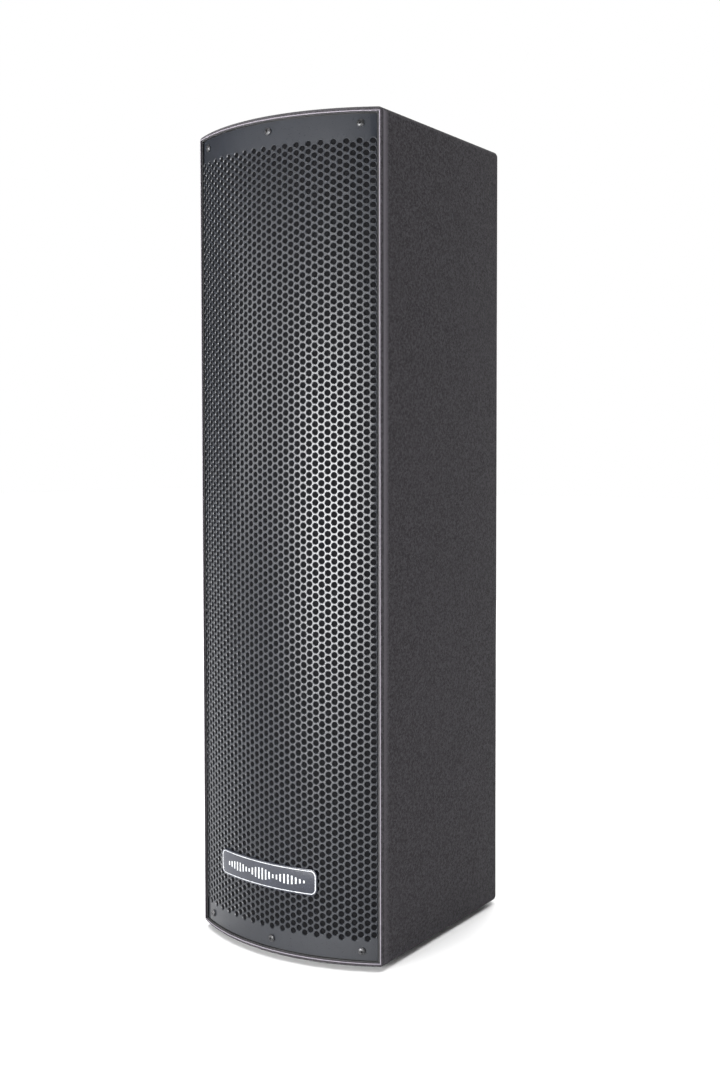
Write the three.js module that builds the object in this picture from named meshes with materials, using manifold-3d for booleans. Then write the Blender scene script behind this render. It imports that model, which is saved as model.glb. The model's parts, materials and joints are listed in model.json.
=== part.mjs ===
// A floor-standing column loudspeaker: a carpeted wooden box with a bowed, perforated steel front,
// four cone drivers and a horn behind it, and an amplifier with its control panel at the back.
// Millimetres. +Z is up, the grille faces -Y, and the floor is at z = 0 under the box's middle.
import * as THREE from "three";
import { mergeVertices } from "three/addons/utils/BufferGeometryUtils.js";
import Module from "manifold-3d";

const wasm = await Module();
wasm.setup();

// ---------------------------------------------------------------------- driving dimensions

const GAP = 0.3; // clearance between neighbouring pieces

const HEIGHT = 880; // floor to the top of the covering
const WIDTH = 245;
const DEPTH = 265; // middle of the bowed front to the rear edge
const BOW = 31; // how far the middle of the front stands ahead of its corners
const FOOT_HEIGHT = 4;
const EDGE_RADIUS = 6; // top and bottom edges
const FRONT_CORNER_RADIUS = 4;
const REAR_CORNER_RADIUS = 6.5;

const COVERING = 1.6; // thickness of the carpet
const SIDE_THICKNESS = 15;
const END_THICKNESS = 22; // top and bottom panels, thick enough for the grille's screws
const BACK_THICKNESS = 12;
const BACK_INSET = 18; // the back panel stands this far inside the rear edge
const BAFFLE_THICKNESS = 12;
const LIP_SIDE = 4.6; // covered edge round the grille, at the sides
const LIP_END = 6.6; // and at the top and bottom

const GRILLE_RECESS = 2.7; // grille face behind the lip's front
const GRILLE_THICKNESS = 1.2;
const GRILLE_GAP = 1; // visible gap between the grille and the lip
const HOLE_PITCH = 8;
const SCREW_HEIGHT = 16.9; // grille screws from the top and from the bottom of the box
const SCREW_COLUMNS = 15; // outer screws, in hole columns from the middle

const BADGE = { width: 136, height: 28, thickness: 2, radius: 7.5, x: -11, z: 88 };

const DRIVER_RADIUS = 82.5;
const CONE_RADIUS = 57;
const HORN = { width: 150, height: 96, mouthWidth: 130, mouthHeight: 78, throat: 24, length: 50 };

const PANEL = { width: 190, bottom: 205, top: 495, thickness: 2 };
const KNOB = { radius: 9, height: 12, shaft: 3 };
const HANDLE = { width: 118, height: 78, depth: 36, z: 700, wall: 3, flange: 8 };
const SOCKET = { radius: 17.75, hole: 20.5, depth: 80, wall: 2, flangeRadius: 45, y: 14 };
const CHAMBER_FRONT = 30; // outside of the amplifier chamber's front wall
const CHAMBER_WALL = 9;

// ---------------------------------------------------------------------- derived places

const BASE = FOOT_HEIGHT; // underside of the box
const MIDDLE = (BASE + HEIGHT) / 2;
const FRONT = -DEPTH / 2;
const REAR = DEPTH / 2;
const BOW_RADIUS = ((WIDTH / 2) ** 2 + BOW ** 2) / (2 * BOW);
const BOW_CENTRE = FRONT + BOW_RADIUS;
const CORNER = FRONT + BOW; // y of the front corners
const SKIN = COVERING + GAP; // the wood starts this far inside the outer faces
const INNER_X = WIDTH / 2 - SKIN - SIDE_THICKNESS; // inner face of the side panels
const INNER_BOTTOM = BASE + SKIN + END_THICKNESS;
const INNER_TOP = HEIGHT - SKIN - END_THICKNESS;
const GRILLE_RADIUS = BOW_RADIUS - GRILLE_RECESS;
const SEAT_RADIUS = GRILLE_RADIUS - GRILLE_THICKNESS - GAP;
const BAFFLE_FRONT = CORNER + 16.5;
const BACK_OUTER = REAR - BACK_INSET;
const BACK_INNER = BACK_OUTER - BACK_THICKNESS;
const PANEL_BACK = BACK_OUTER + GAP;
const PANEL_FACE = PANEL_BACK + PANEL.thickness;

// ---------------------------------------------------------------------- solids

function asSolid(geometry) {
  let plain = geometry.clone();
  plain.deleteAttribute("normal");
  plain.deleteAttribute("uv");
  plain = mergeVertices(plain, 1e-4);
  const vertProperties = new Float32Array(plain.attributes.position.array);
  const triVerts = new Uint32Array(plain.index.array);
  return new wasm.Manifold(new wasm.Mesh({ numProp: 3, vertProperties, triVerts }));
}

function asGeometry(solid) {
  const mesh = solid.getMesh();
  const geometry = new THREE.BufferGeometry();
  geometry.setAttribute("position", new THREE.BufferAttribute(mesh.vertProperties, 3));
  geometry.setIndex(new THREE.BufferAttribute(mesh.triVerts, 1));
  geometry.computeVertexNormals();
  return geometry;
}

function join(first, ...others) {
  return asGeometry(others.reduce((sum, other) => sum.add(asSolid(other)), asSolid(first)));
}

function cut(base, ...tools) {
  return asGeometry(tools.reduce((rest, tool) => rest.subtract(asSolid(tool)), asSolid(base)));
}

function common(first, second) {
  return asGeometry(asSolid(first).intersect(asSolid(second)));
}

function box([x0, x1], [y0, y1], [z0, z1]) {
  const geometry = new THREE.BoxGeometry(x1 - x0, y1 - y0, z1 - z0);
  return geometry.translate((x0 + x1) / 2, (y0 + y1) / 2, (z0 + z1) / 2);
}

// A cylinder along Y, from one depth to another.
function rod(radius, [y0, y1], x = 0, z = 0, sides = 12) {
  const geometry = new THREE.CylinderGeometry(radius, radius, y1 - y0, sides);
  return geometry.translate(x, (y0 + y1) / 2, z);
}

// Rings of equal point counts, joined in order and closed at both ends.
function loft(rings) {
  const count = rings[0].length;
  const positions = rings.flat().flatMap((p) => [p.x, p.y, p.z]);
  const index = [];
  for (let r = 0; r + 1 < rings.length; r += 1) {
    for (let i = 0; i < count; i += 1) {
      const a = r * count + i;
      const b = r * count + ((i + 1) % count);
      index.push(a, b, b + count, a, b + count, a + count);
    }
  }
  const last = (rings.length - 1) * count;
  for (let i = 1; i + 1 < count; i += 1) {
    index.push(0, i + 1, i);
    index.push(last, last + i, last + i + 1);
  }
  const geometry = new THREE.BufferGeometry();
  geometry.setAttribute("position", new THREE.Float32BufferAttribute(positions, 3));
  geometry.setIndex(index);
  geometry.computeVertexNormals();
  return geometry;
}

// A profile of [radius, depth] pairs turned round the Y axis, counter-clockwise in that plane.
function turned(profile, sides = 12) {
  return new THREE.LatheGeometry(profile.map(([r, y]) => new THREE.Vector2(r, y)), sides);
}

function arcPoints(centreX, centreY, radius, from, to, steps) {
  return Array.from({ length: steps + 1 }, (_, i) => {
    const angle = from + ((to - from) * i) / steps;
    return [centreX + radius * Math.cos(angle), centreY + radius * Math.sin(angle)];
  });
}

// ---------------------------------------------------------------------- the box's outer form

// The plan of the box, every face moved in by an inset: a bowed front, straight sides and back.
function plan(inset) {
  const frontCorner = Math.max(FRONT_CORNER_RADIUS - inset, 0.5);
  const rearCorner = Math.max(REAR_CORNER_RADIUS - inset, 0.5);
  const half = WIDTH / 2 - inset;
  const bow = BOW_RADIUS - inset;
  const reach = Math.asin((half - frontCorner) / (bow - frontCorner));
  const cornerY = BOW_CENTRE - (bow - frontCorner) * Math.cos(reach);
  const rearY = REAR - inset - rearCorner;
  const down = -Math.PI / 2;
  const right = [
    ...arcPoints(half - frontCorner, cornerY, frontCorner, down + reach, 0, 2),
    ...arcPoints(half - rearCorner, rearY, rearCorner, 0, Math.PI / 2, 2),
  ];
  const left = right.map(([x, y]) => [-x, y]).reverse();
  const front = arcPoints(0, BOW_CENTRE, bow, down - reach, down + reach, 16).slice(1, -1);
  return [...front, ...right, ...left];
}

// The whole box with rounded edges, every face moved in by an inset.
function roundedBox(inset) {
  const steps = 2;
  const radius = EDGE_RADIUS - inset;
  const ring = (further, z) => plan(inset + further).map(([x, y]) => new THREE.Vector3(x, y, z));
  const edge = Array.from({ length: steps + 1 }, (_, i) => (i / steps) * (Math.PI / 2));
  const rise = (t) => radius * (1 - Math.sin(t));
  const lift = (t) => inset + radius * (1 - Math.cos(t));
  const low = edge.map((t) => ring(rise(t), BASE + lift(t)));
  const high = edge.map((t) => ring(rise(t), HEIGHT - lift(t)));
  return loft([...low, ...high.reverse()]);
}

// A curved slab that follows the bowed front, between two radii.
function bowedSlab(inner, outer, halfAngle, [z0, z1], steps = 16) {
  const down = -Math.PI / 2;
  const section = [
    ...arcPoints(0, BOW_CENTRE, outer, down - halfAngle, down + halfAngle, steps),
    ...arcPoints(0, BOW_CENTRE, inner, down + halfAngle, down - halfAngle, steps),
  ];
  const shape = new THREE.Shape(section.map(([x, y]) => new THREE.Vector2(x, y)));
  const geometry = new THREE.ExtrudeGeometry(shape, { depth: z1 - z0, bevelEnabled: false });
  return geometry.translate(0, 0, z0);
}

const LIP_X = WIDTH / 2 - LIP_SIDE;
const LIP_LOW = BASE + LIP_END;
const LIP_HIGH = HEIGHT - LIP_END;

// The shallow rebate that the grille lies in.
function grilleRebate() {
  const region = box([-LIP_X, LIP_X], [FRONT - 5, CORNER + 12], [LIP_LOW, LIP_HIGH]);
  return cut(region, new THREE.CylinderGeometry(SEAT_RADIUS, SEAT_RADIUS, HEIGHT * 1.2, 152)
    .rotateX(Math.PI / 2)
    .translate(0, BOW_CENTRE, MIDDLE));
}

// ---------------------------------------------------------------------- finishes

function finish(colour, roughness, metalness = 0) {
  return new THREE.MeshStandardMaterial({ color: colour, roughness, metalness });
}

const carpet = finish(0x3a383c, 0.95);
const paintedWood = finish(0x141416, 0.8);
const bareWood = finish(0x8a6f4d, 0.75);
const grilleCoat = finish(0x1d1f24, 0.42, 0.4);
const cloth = finish(0x0a0a0b, 0.95);
const badgeGloss = finish(0x10131b, 0.15);
const blackSteel = finish(0x121214, 0.45, 0.7);
const castMetal = finish(0x2a2b2e, 0.6, 0.6);
const ferrite = finish(0x39393b, 0.7, 0.3);
const paper = finish(0x19191a, 0.85);
const rubber = finish(0x101010, 0.9);
const blackPlastic = finish(0x161618, 0.55);
const aluminium = finish(0x2b2c2f, 0.5, 0.8);
const boardGreen = finish(0x1c4a2e, 0.6);
const copperWinding = finish(0x9a5a2c, 0.4, 0.5);

const column = new THREE.Group();

function add(name, geometry, material, parent = column) {
  const mesh = new THREE.Mesh(geometry, material);
  mesh.name = name;
  parent.add(mesh);
  return mesh;
}

function place(x, y, z) {
  const group = new THREE.Group();
  group.position.set(x, y, z);
  column.add(group);
  return group;
}

// ---------------------------------------------------------------------- box and covering

const EVERYWHERE = [-HEIGHT, HEIGHT];
const socketHole = new THREE.CylinderGeometry(SOCKET.hole, SOCKET.hole, 60, 24)
  .rotateX(Math.PI / 2)
  .translate(0, SOCKET.y, 0);

function covering() {
  const opening = box([-LIP_X, LIP_X], [FRONT - 5, CORNER + 20], [LIP_LOW, LIP_HIGH]);
  const rear = box([-INNER_X, INNER_X], [REAR - 5, REAR + 5], [INNER_BOTTOM, INNER_TOP]);
  return cut(roundedBox(0), roundedBox(COVERING), opening, rear, socketHole);
}

// The outer screw's angle round the bow, and the holes that all six screws need.
const SCREW_ANGLE = (SCREW_COLUMNS * HOLE_PITCH * Math.cos(Math.PI / 6)) / GRILLE_RADIUS;
const SCREW_PLACES = [
  ["left", -SCREW_ANGLE],
  ["middle", 0],
  ["right", SCREW_ANGLE],
].flatMap(([side, angle]) => [
  { name: `grille_screw_top_${side}`, angle, z: HEIGHT - SCREW_HEIGHT },
  { name: `grille_screw_bottom_${side}`, angle, z: BASE + SCREW_HEIGHT },
]);

function screwHoles(radius) {
  return SCREW_PLACES.map(({ angle, z }) => rod(radius, [-GRILLE_RADIUS - 6, -GRILLE_RADIUS + 22], 0, 0, 8)
    .rotateZ(angle)
    .translate(0, BOW_CENTRE, z));
}

function boxPanels() {
  const wood = cut(roundedBox(SKIN), grilleRebate());
  add("side_panel_left", common(wood, box([-WIDTH, -INNER_X], EVERYWHERE, EVERYWHERE)), paintedWood);
  add("side_panel_right", common(wood, box([INNER_X, WIDTH], EVERYWHERE, EVERYWHERE)), paintedWood);
  const between = [-INNER_X + GAP, INNER_X - GAP];
  const top = common(wood, box(between, EVERYWHERE, [INNER_TOP, HEIGHT + 1]));
  const bottom = common(wood, box(between, EVERYWHERE, [BASE - 1, INNER_BOTTOM]));
  add("top_panel", cut(top, ...screwHoles(2)), paintedWood);
  add("bottom_panel", cut(bottom, socketHole, ...screwHoles(2)), paintedWood);
}

const INSIDE_Z = [INNER_BOTTOM + GAP, INNER_TOP - GAP];
const INSIDE_X = [-INNER_X + GAP, INNER_X - GAP];

function backPanel() {
  const halfWidth = PANEL.width / 2 - 9;
  return cut(
    box(INSIDE_X, [BACK_INNER, BACK_OUTER], INSIDE_Z),
    box([-halfWidth, halfWidth], EVERYWHERE, [PANEL.bottom + 9, PANEL.top - 9]),
    box(
      [-HANDLE.width / 2 - HANDLE.wall - 1, HANDLE.width / 2 + HANDLE.wall + 1],
      EVERYWHERE,
      [HANDLE.z - HANDLE.height / 2 - HANDLE.wall - 1, HANDLE.z + HANDLE.height / 2 + HANDLE.wall + 1],
    ),
  );
}

// Wooden box that keeps the amplifier apart from the drivers' air.
function ampChamber() {
  const half = PANEL.width / 2 - 3;
  const [front, back] = [CHAMBER_FRONT, BACK_INNER - GAP];
  const shell = box([-half, half], [front, back], [PANEL.bottom, PANEL.top]);
  const inside = [PANEL.bottom + CHAMBER_WALL, PANEL.top - CHAMBER_WALL];
  const hollow = half - CHAMBER_WALL;
  return cut(shell, box([-hollow, hollow], [front + CHAMBER_WALL, back + 5], inside));
}

// ---------------------------------------------------------------------- grille and badge

function grilleSheet() {
  const halfAngle = Math.asin((LIP_X - GRILLE_GAP) / GRILLE_RADIUS);
  const height = [LIP_LOW + GRILLE_GAP, LIP_HIGH - GRILLE_GAP];
  const sheet = bowedSlab(GRILLE_RADIUS - GRILLE_THICKNESS, GRILLE_RADIUS, halfAngle, height);
  return cut(sheet, ...screwHoles(2.2));
}

function grilleCloth() {
  const outer = SEAT_RADIUS;
  const halfAngle = Math.asin((INNER_X - 2) / outer);
  return bowedSlab(outer - 1, outer, halfAngle, [INNER_BOTTOM + 1, INNER_TOP - 1]);
}

function roundedRectangle(width, height, radius) {
  const shape = new THREE.Shape();
  const [x, y] = [width / 2 - radius, height / 2 - radius];
  shape.absarc(x, y, radius, 0, Math.PI / 2);
  shape.absarc(-x, y, radius, Math.PI / 2, Math.PI);
  shape.absarc(-x, -y, radius, Math.PI, Math.PI * 1.5);
  shape.absarc(x, -y, radius, Math.PI * 1.5, Math.PI * 2);
  return shape;
}

function badgePlate() {
  const { width, height, thickness, radius, x, z } = BADGE;
  const inner = GRILLE_RADIUS + GAP;
  const slab = bowedSlab(inner, inner + thickness, 0.4, [z - height, z + height], 12);
  const outline = roundedRectangle(width, height, radius);
  const prism = new THREE.ExtrudeGeometry(outline, { depth: 60, bevelEnabled: false, curveSegments: 3 })
    .rotateX(Math.PI / 2)
    .translate(x, FRONT + 50, z);
  return common(slab, prism);
}

// A pan-head screw along Y, its head's seat at y = 0 and its point at +y.
function panHeadScrew() {
  const [shank, head, length, rise] = [1.6, 3.8, 17, 2.2];
  const profile = [
    [0, -rise],
    [head * 0.6, -rise],
    [head, -rise * 0.45],
    [head, 0],
    [shank, 0],
    [shank, length - 3],
    [0, length],
  ];
  const recess = [-rise - 1, -rise + 1.2];
  const [thin, wide] = [[-0.5, 0.5], [-2, 2]];
  return cut(turned(profile, 10), box(thin, recess, wide), box(wide, recess, thin));
}

function grilleScrews() {
  const screw = panHeadScrew();
  for (const { name, angle, z } of SCREW_PLACES) {
    const radius = GRILLE_RADIUS + GAP;
    const group = place(radius * Math.sin(angle), BOW_CENTRE - radius * Math.cos(angle), z);
    group.rotation.z = angle;
    add(name, screw, blackSteel, group);
  }
}

// ---------------------------------------------------------------------- drivers and horn

// Depths below run from the baffle's front face, backwards.
const SEAT = -GAP;
const BASKET_BACK = 44;

function basket() {
  const bore = DRIVER_RADIUS - 14;
  const profile = [
    [bore, SEAT - 4],
    [DRIVER_RADIUS, SEAT - 4],
    [DRIVER_RADIUS, SEAT],
    [72, SEAT],
    [70.5, 12],
    [42.5, BASKET_BACK],
    [20, BASKET_BACK],
    [20, BASKET_BACK - 2],
    [40.5, BASKET_BACK - 2],
    [bore, 11.5],
    [bore, SEAT - 4],
  ];
  const window = box([-17, 17], [15, BASKET_BACK - 6], [40, 90]);
  const windows = [0, 1, 2, 3].map((i) => window.clone().rotateY((i + 0.5) * (Math.PI / 2)));
  return cut(turned(profile), ...windows);
}

// Paper cone with its flat rim, dust cap and voice coil former.
function cone() {
  const rim = CONE_RADIUS;
  const former = { outer: 17, inner: 16.4, end: 52 };
  const profile = [
    [0, 12],
    [19, 20],
    [rim - 5, -3],
    [rim, -3],
    [rim, -2],
    [rim - 5, -1.8],
    [former.outer, 23],
    [former.outer, former.end],
    [former.inner, former.end],
    [former.inner, 22],
    [0, 14],
  ];
  return turned(profile);
}

// Half-roll rubber edge between the cone's rim and the basket.
function surround() {
  const [foot, thickness] = [-3 - GAP, 0.8];
  const roll = { r: 62, y: foot - thickness / 2 };
  const upper = arcPoints(roll.r, roll.y, 5.8, 0, -Math.PI, 4);
  const lower = arcPoints(roll.r, roll.y, 5, -Math.PI, 0, 4);
  const profile = [
    [76, SEAT - 4.3],
    [76, SEAT - 5.1],
    [69, SEAT - 5.1],
    ...upper,
    [CONE_RADIUS - 4.5, foot - thickness],
    [CONE_RADIUS - 4.5, foot],
    ...lower,
    [68.2, SEAT - 4.3],
  ];
  return turned([...profile, profile[0]].reverse());
}

function magnet() {
  const front = BASKET_BACK + GAP;
  const profile = [
    [0, front],
    [15.4, front],
    [15.4, front + 22],
    [18, front + 22],
    [18, front],
    [36, front],
    [45, front + 6],
    [45, front + 28],
    [0, front + 28],
  ];
  return turned(profile);
}

const DRIVER_GAP = (INNER_TOP - INNER_BOTTOM - 8 * DRIVER_RADIUS - HORN.height) / 6;
const DRIVER_NEAR = HORN.height / 2 + DRIVER_GAP + DRIVER_RADIUS;
const DRIVER_FAR = DRIVER_NEAR + DRIVER_GAP + 2 * DRIVER_RADIUS;
const DRIVERS = [
  { name: "lowest", z: MIDDLE - DRIVER_FAR },
  { name: "lower", z: MIDDLE - DRIVER_NEAR },
  { name: "upper", z: MIDDLE + DRIVER_NEAR },
  { name: "highest", z: MIDDLE + DRIVER_FAR },
];

function drivers() {
  const pieces = [
    ["basket", basket(), castMetal],
    ["cone", cone(), paper],
    ["surround", surround(), rubber],
    ["magnet", magnet(), ferrite],
  ];
  for (const { name, z } of DRIVERS) {
    const group = place(0, BAFFLE_FRONT, z);
    for (const [piece, geometry, material] of pieces) {
      add(`${name}_driver_${piece}`, geometry, material, group);
    }
  }
}

// The four corners of an upright rectangle at one depth.
function rectangle(width, height, y) {
  const [x, z] = [width / 2, height / 2];
  return [[-x, -z], [-x, z], [x, z], [x, -z]].map(([px, pz]) => new THREE.Vector3(px, y, pz));
}

function horn() {
  const { width, height, mouthWidth, mouthHeight, throat, length } = HORN;
  const flare = (grow, start, end) => loft([start, 0, 0.28, 0.6, end].map((t) => {
    const open = (1 - Math.min(Math.max(t, 0), 1)) ** 1.8;
    const across = throat + (mouthWidth - throat) * open + 2 * grow;
    return rectangle(across, throat + (mouthHeight - throat) * open + 2 * grow, t * length);
  }));
  const flange = box([-width / 2, width / 2], [SEAT - 4, SEAT], [-height / 2, height / 2]);
  return cut(join(flare(3, -0.05, 1), flange), flare(0, -0.2, 1.2));
}

function baffle() {
  const board = box(INSIDE_X, [BAFFLE_FRONT, BAFFLE_FRONT + BAFFLE_THICKNESS], INSIDE_Z);
  const driverHoles = DRIVERS.map(({ z }) => rod(74.5, EVERYWHERE, 0, z, 24));
  const [x, z] = [HORN.mouthWidth / 2 + 4, HORN.mouthHeight / 2 + 4];
  return cut(board, ...driverHoles, box([-x, x], EVERYWHERE, [MIDDLE - z, MIDDLE + z]));
}

function compressionDriver() {
  const front = HORN.length + GAP;
  const profile = [
    [0, front],
    [42, front],
    [42, front + 24],
    [34, front + 30],
    [0, front + 30],
  ];
  return turned(profile);
}

// ---------------------------------------------------------------------- feet, socket and handle

function foot() {
  const top = FOOT_HEIGHT - GAP;
  const profile = [[0, 1.8], [5, 1.8], [5, 0], [12, 0], [14, top], [0, top]];
  return turned(profile).rotateX(Math.PI / 2);
}

function feet() {
  for (const [end, y] of [["front", CORNER + 28], ["rear", REAR - 32]]) {
    for (const [side, x] of [["left", -WIDTH / 2 + 32], ["right", WIDTH / 2 - 32]]) {
      add(`foot_${end}_${side}`, foot(), rubber, place(x, y, 0));
    }
  }
}

// Steel cup for a speaker pole, open at the bottom, with a round flange under the box.
function poleSocket() {
  const { radius, depth, wall, flangeRadius } = SOCKET;
  const [low, high] = [BASE - GAP - 1.8, BASE - GAP];
  const profile = [
    [radius, low],
    [flangeRadius, low],
    [flangeRadius, high],
    [radius + wall, high],
    [radius + wall, low + depth + wall],
    [0, low + depth + wall],
    [0, low + depth],
    [radius, low + depth],
    [radius, low],
  ];
  return turned(profile, 20).rotateX(Math.PI / 2);
}

// Moulded dish with a grip bar across it.
function carryHandle() {
  const { width, height, depth, z, wall, flange } = HANDLE;
  const [x, half] = [width / 2, height / 2];
  const face = BACK_OUTER + GAP;
  const dish = box([-x - wall, x + wall], [face - depth, face + 1], [z - half - wall, z + half + wall]);
  const rimX = x + wall + flange;
  const rimZ = half + wall + flange;
  const rim = box([-rimX, rimX], [face, face + 2.5], [z - rimZ, z + rimZ]);
  const hollow = box([-x, x], [face - depth + wall, face + 5], [z - half, z + half]);
  const bar = new THREE.CylinderGeometry(10, 10, width + wall, 12)
    .rotateZ(Math.PI / 2)
    .scale(1, 0.75, 1)
    .translate(0, face - 5, z);
  return join(cut(join(dish, rim), hollow), bar);
}

// ---------------------------------------------------------------------- control panel

const CHANNEL_ROWS = [{ name: "channel_1", z: 458 }, { name: "channel_2", z: 412 }];
const CHANNEL_KNOBS = [{ name: "treble", x: 16 }, { name: "bass", x: -26 }, { name: "volume", x: -68 }];
const SOCKET_X = 64;
const MASTER = { x: -68, z: 368 };
const SPEAKER_JACK = { x: 64, z: 368 };
const MAINS = { x: -46, z: 233, width: 27, height: 20 };
const SWITCH = { x: 48, z: 233, width: 15, height: 21 };
const KNOBS = [
  ...CHANNEL_ROWS.flatMap((row) => CHANNEL_KNOBS.map((knob) => (
    { name: `${row.name}_${knob.name}_knob`, x: knob.x, z: row.z }
  ))),
  { name: "master_volume_knob", ...MASTER },
];

function around({ x, z, width, height }, grow, depths) {
  const [halfX, halfZ] = [width / 2 + grow, height / 2 + grow];
  return box([x - halfX, x + halfX], depths, [z - halfZ, z + halfZ]);
}

const LATCH = { halfWidth: 3.2, low: 13, high: 17.4 };
const THROUGH = [BACK_INNER, PANEL_FACE + 5];

function latchSpace(grow, depths) {
  const x = LATCH.halfWidth + grow;
  return box([-x, x], depths, [LATCH.low - grow, LATCH.high + grow]);
}

function controlPanel() {
  const half = PANEL.width / 2;
  const plate = box([-half, half], [PANEL_BACK, PANEL_FACE], [PANEL.bottom, PANEL.top]);
  const knobHoles = KNOBS.map(({ x, z }) => rod(KNOB.shaft + 0.7, THROUGH, x, z, 8));
  const socketHoles = CHANNEL_ROWS.flatMap(({ z }) => [
    rod(12.4, THROUGH, SOCKET_X, z, 16),
    latchSpace(0.9, THROUGH).translate(SOCKET_X, 0, z),
  ]);
  return cut(
    plate,
    ...knobHoles,
    ...socketHoles,
    rod(6.2, THROUGH, SPEAKER_JACK.x, SPEAKER_JACK.z),
    around(MAINS, GAP, THROUGH),
    around(SWITCH, -0.9, THROUGH),
  );
}

// Knob along Y with its shaft, its skirt's underside at y = 0 and a pointer groove at the top.
function knob() {
  const { radius, height, shaft } = KNOB;
  const profile = [
    [0, -9.5],
    [shaft, -9.5],
    [shaft, 0],
    [radius, 0],
    [radius, 2],
    [radius - 1.6, 3],
    [radius - 2.2, height],
    [0, height],
  ];
  const groove = box([-0.6, 0.6], [height - 0.8, height + 1], [1.5, radius]);
  return cut(turned(profile), groove);
}

// Input socket that takes either of two plug types: round bezel, outer ring and centre hole.
function inputSocket() {
  const [back, seat] = [BACK_INNER - 10, PANEL_FACE + GAP];
  const face = seat + 2.5;
  const barrel = rod(11.6, [back, face], 0, 0, 16);
  const bezel = box([-13, 13], [seat, face], [-14, 19.4]);
  return cut(
    join(barrel, bezel),
    cut(rod(9.4, [face - 15, face + 1]), rod(7.4, [face - 16, face - 1])),
    rod(3.3, [face - 19, face + 1], 0, 0, 8),
    latchSpace(0.5, [seat - 1, face + 1]),
  );
}

function speakerJack() {
  const [back, seat] = [BACK_INNER - 8, PANEL_FACE + GAP];
  const body = box([-8, 8], [back, BACK_OUTER - 3], [-8, 8]);
  const neck = rod(5.6, [back + 2, seat + 1]);
  const nut = rod(7.8, [seat, seat + 2.6], 0, 0, 6);
  return cut(join(body, neck, nut), rod(3.3, [back + 3, seat + 5], 0, 0, 8));
}

// Three-blade appliance inlet in a rectangular shroud.
function mainsInlet() {
  const seat = PANEL_FACE + GAP;
  const face = seat + 2.4;
  const floor = face - 17;
  const centred = { ...MAINS, x: 0, z: 0 };
  const shroud = around(centred, 0, [floor - 5, face]);
  const flange = around(centred, 2.4, [seat, face]);
  const recess = around(centred, -1.8, [floor, face + 1]);
  const blades = [[-7, -2], [0, 2.5], [7, -2]].map(([x, z]) => (
    box([x - 1, x + 1], [floor - 1, face - 6], [z - 2, z + 2])
  ));
  return join(cut(join(shroud, flange), recess), ...blades);
}

const ROCKER_PIVOT = PANEL_FACE - 3;
const ROCKER_TILT = 8;

function switchHousing() {
  const seat = PANEL_FACE + GAP;
  const centred = { ...SWITCH, x: 0, z: 0 };
  const body = around(centred, -1.2, [seat - 17, seat + 0.5]);
  const flange = around(centred, 0, [seat, seat + 2]);
  return cut(join(body, flange), around(centred, -2.4, [seat - 15, seat + 3]));
}

// Rocker that tilts about X through its origin, upright here.
function rocker() {
  const outline = [[-6.7, 6.4], [0, 5], [6.7, 6.4], [6.7, 2], [3, -4], [-3, -4], [-6.7, 2]];
  const shape = new THREE.Shape(outline.map(([z, y]) => new THREE.Vector2(z, y)));
  const geometry = new THREE.ExtrudeGeometry(shape, { depth: 9.4, bevelEnabled: false });
  return geometry.translate(0, 0, -4.7).rotateY(Math.PI / 2);
}

// Aluminium profile: a base plate with upright fins.
function heatsink() {
  const [seat, count, pitch] = [PANEL_FACE + GAP, 15, 11.6];
  const [low, high] = [260, 342];
  const base = box([-84, 84], [seat, seat + 3.5], [low, high]);
  const fins = Array.from({ length: count }, (_, i) => {
    const x = (i - (count - 1) / 2) * pitch;
    return box([x - 1, x + 1], [seat + 3, REAR - 1.5], [low, high]);
  });
  return join(base, ...fins);
}

function circuitBoard() {
  const [face, back] = [90, 88.4];
  const board = box([-80, 80], [back, face], [350, 480]);
  const potDepths = [face - 0.5, PANEL_FACE - 10.4];
  const potBodies = KNOBS.map(({ x, z }) => box([x - 8, x + 8], potDepths, [z - 8, z + 8]));
  const capacitors = [-50, -20, 10].map((x) => rod(9, [60, back + 0.5], x, 385, 8));
  const heatSpreader = box([-60, 60], [70, back + 0.5], [435, 443]);
  return join(board, ...potBodies, ...capacitors, heatSpreader);
}

function transformer() {
  const profile = [[14, 0], [38, 0], [42, 5], [42, 29], [38, 34], [14, 34], [14, 0]];
  return turned(profile);
}

function controls() {
  add("control_panel", controlPanel(), blackSteel);
  add("heatsink", heatsink(), aluminium);
  add("circuit_board", circuitBoard(), boardGreen);
  add("transformer", transformer(), copperWinding, place(0, CHAMBER_FRONT + CHAMBER_WALL + GAP, 272));
  for (const { name, x, z } of KNOBS) {
    add(name, knob(), blackPlastic, place(x, PANEL_FACE + 0.8, z));
  }
  for (const { name, z } of CHANNEL_ROWS) {
    const group = place(SOCKET_X, 0, z);
    add(`${name}_input_socket`, inputSocket(), blackPlastic, group);
    add(`${name}_release_latch`, latchSpace(0, [PANEL_BACK - 3, PANEL_FACE + 5]), aluminium, group);
  }
  add("speaker_output_jack", speakerJack(), blackPlastic, place(SPEAKER_JACK.x, 0, SPEAKER_JACK.z));
  add("mains_inlet", mainsInlet(), blackPlastic, place(MAINS.x, 0, MAINS.z));
  add("switch_housing", switchHousing(), blackPlastic, place(SWITCH.x, 0, SWITCH.z));
  const rockerGroup = place(SWITCH.x, ROCKER_PIVOT, SWITCH.z);
  rockerGroup.rotation.x = THREE.MathUtils.degToRad(ROCKER_TILT);
  add("power_rocker", rocker(), blackPlastic, rockerGroup);
}

// ---------------------------------------------------------------------- assembly

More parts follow.
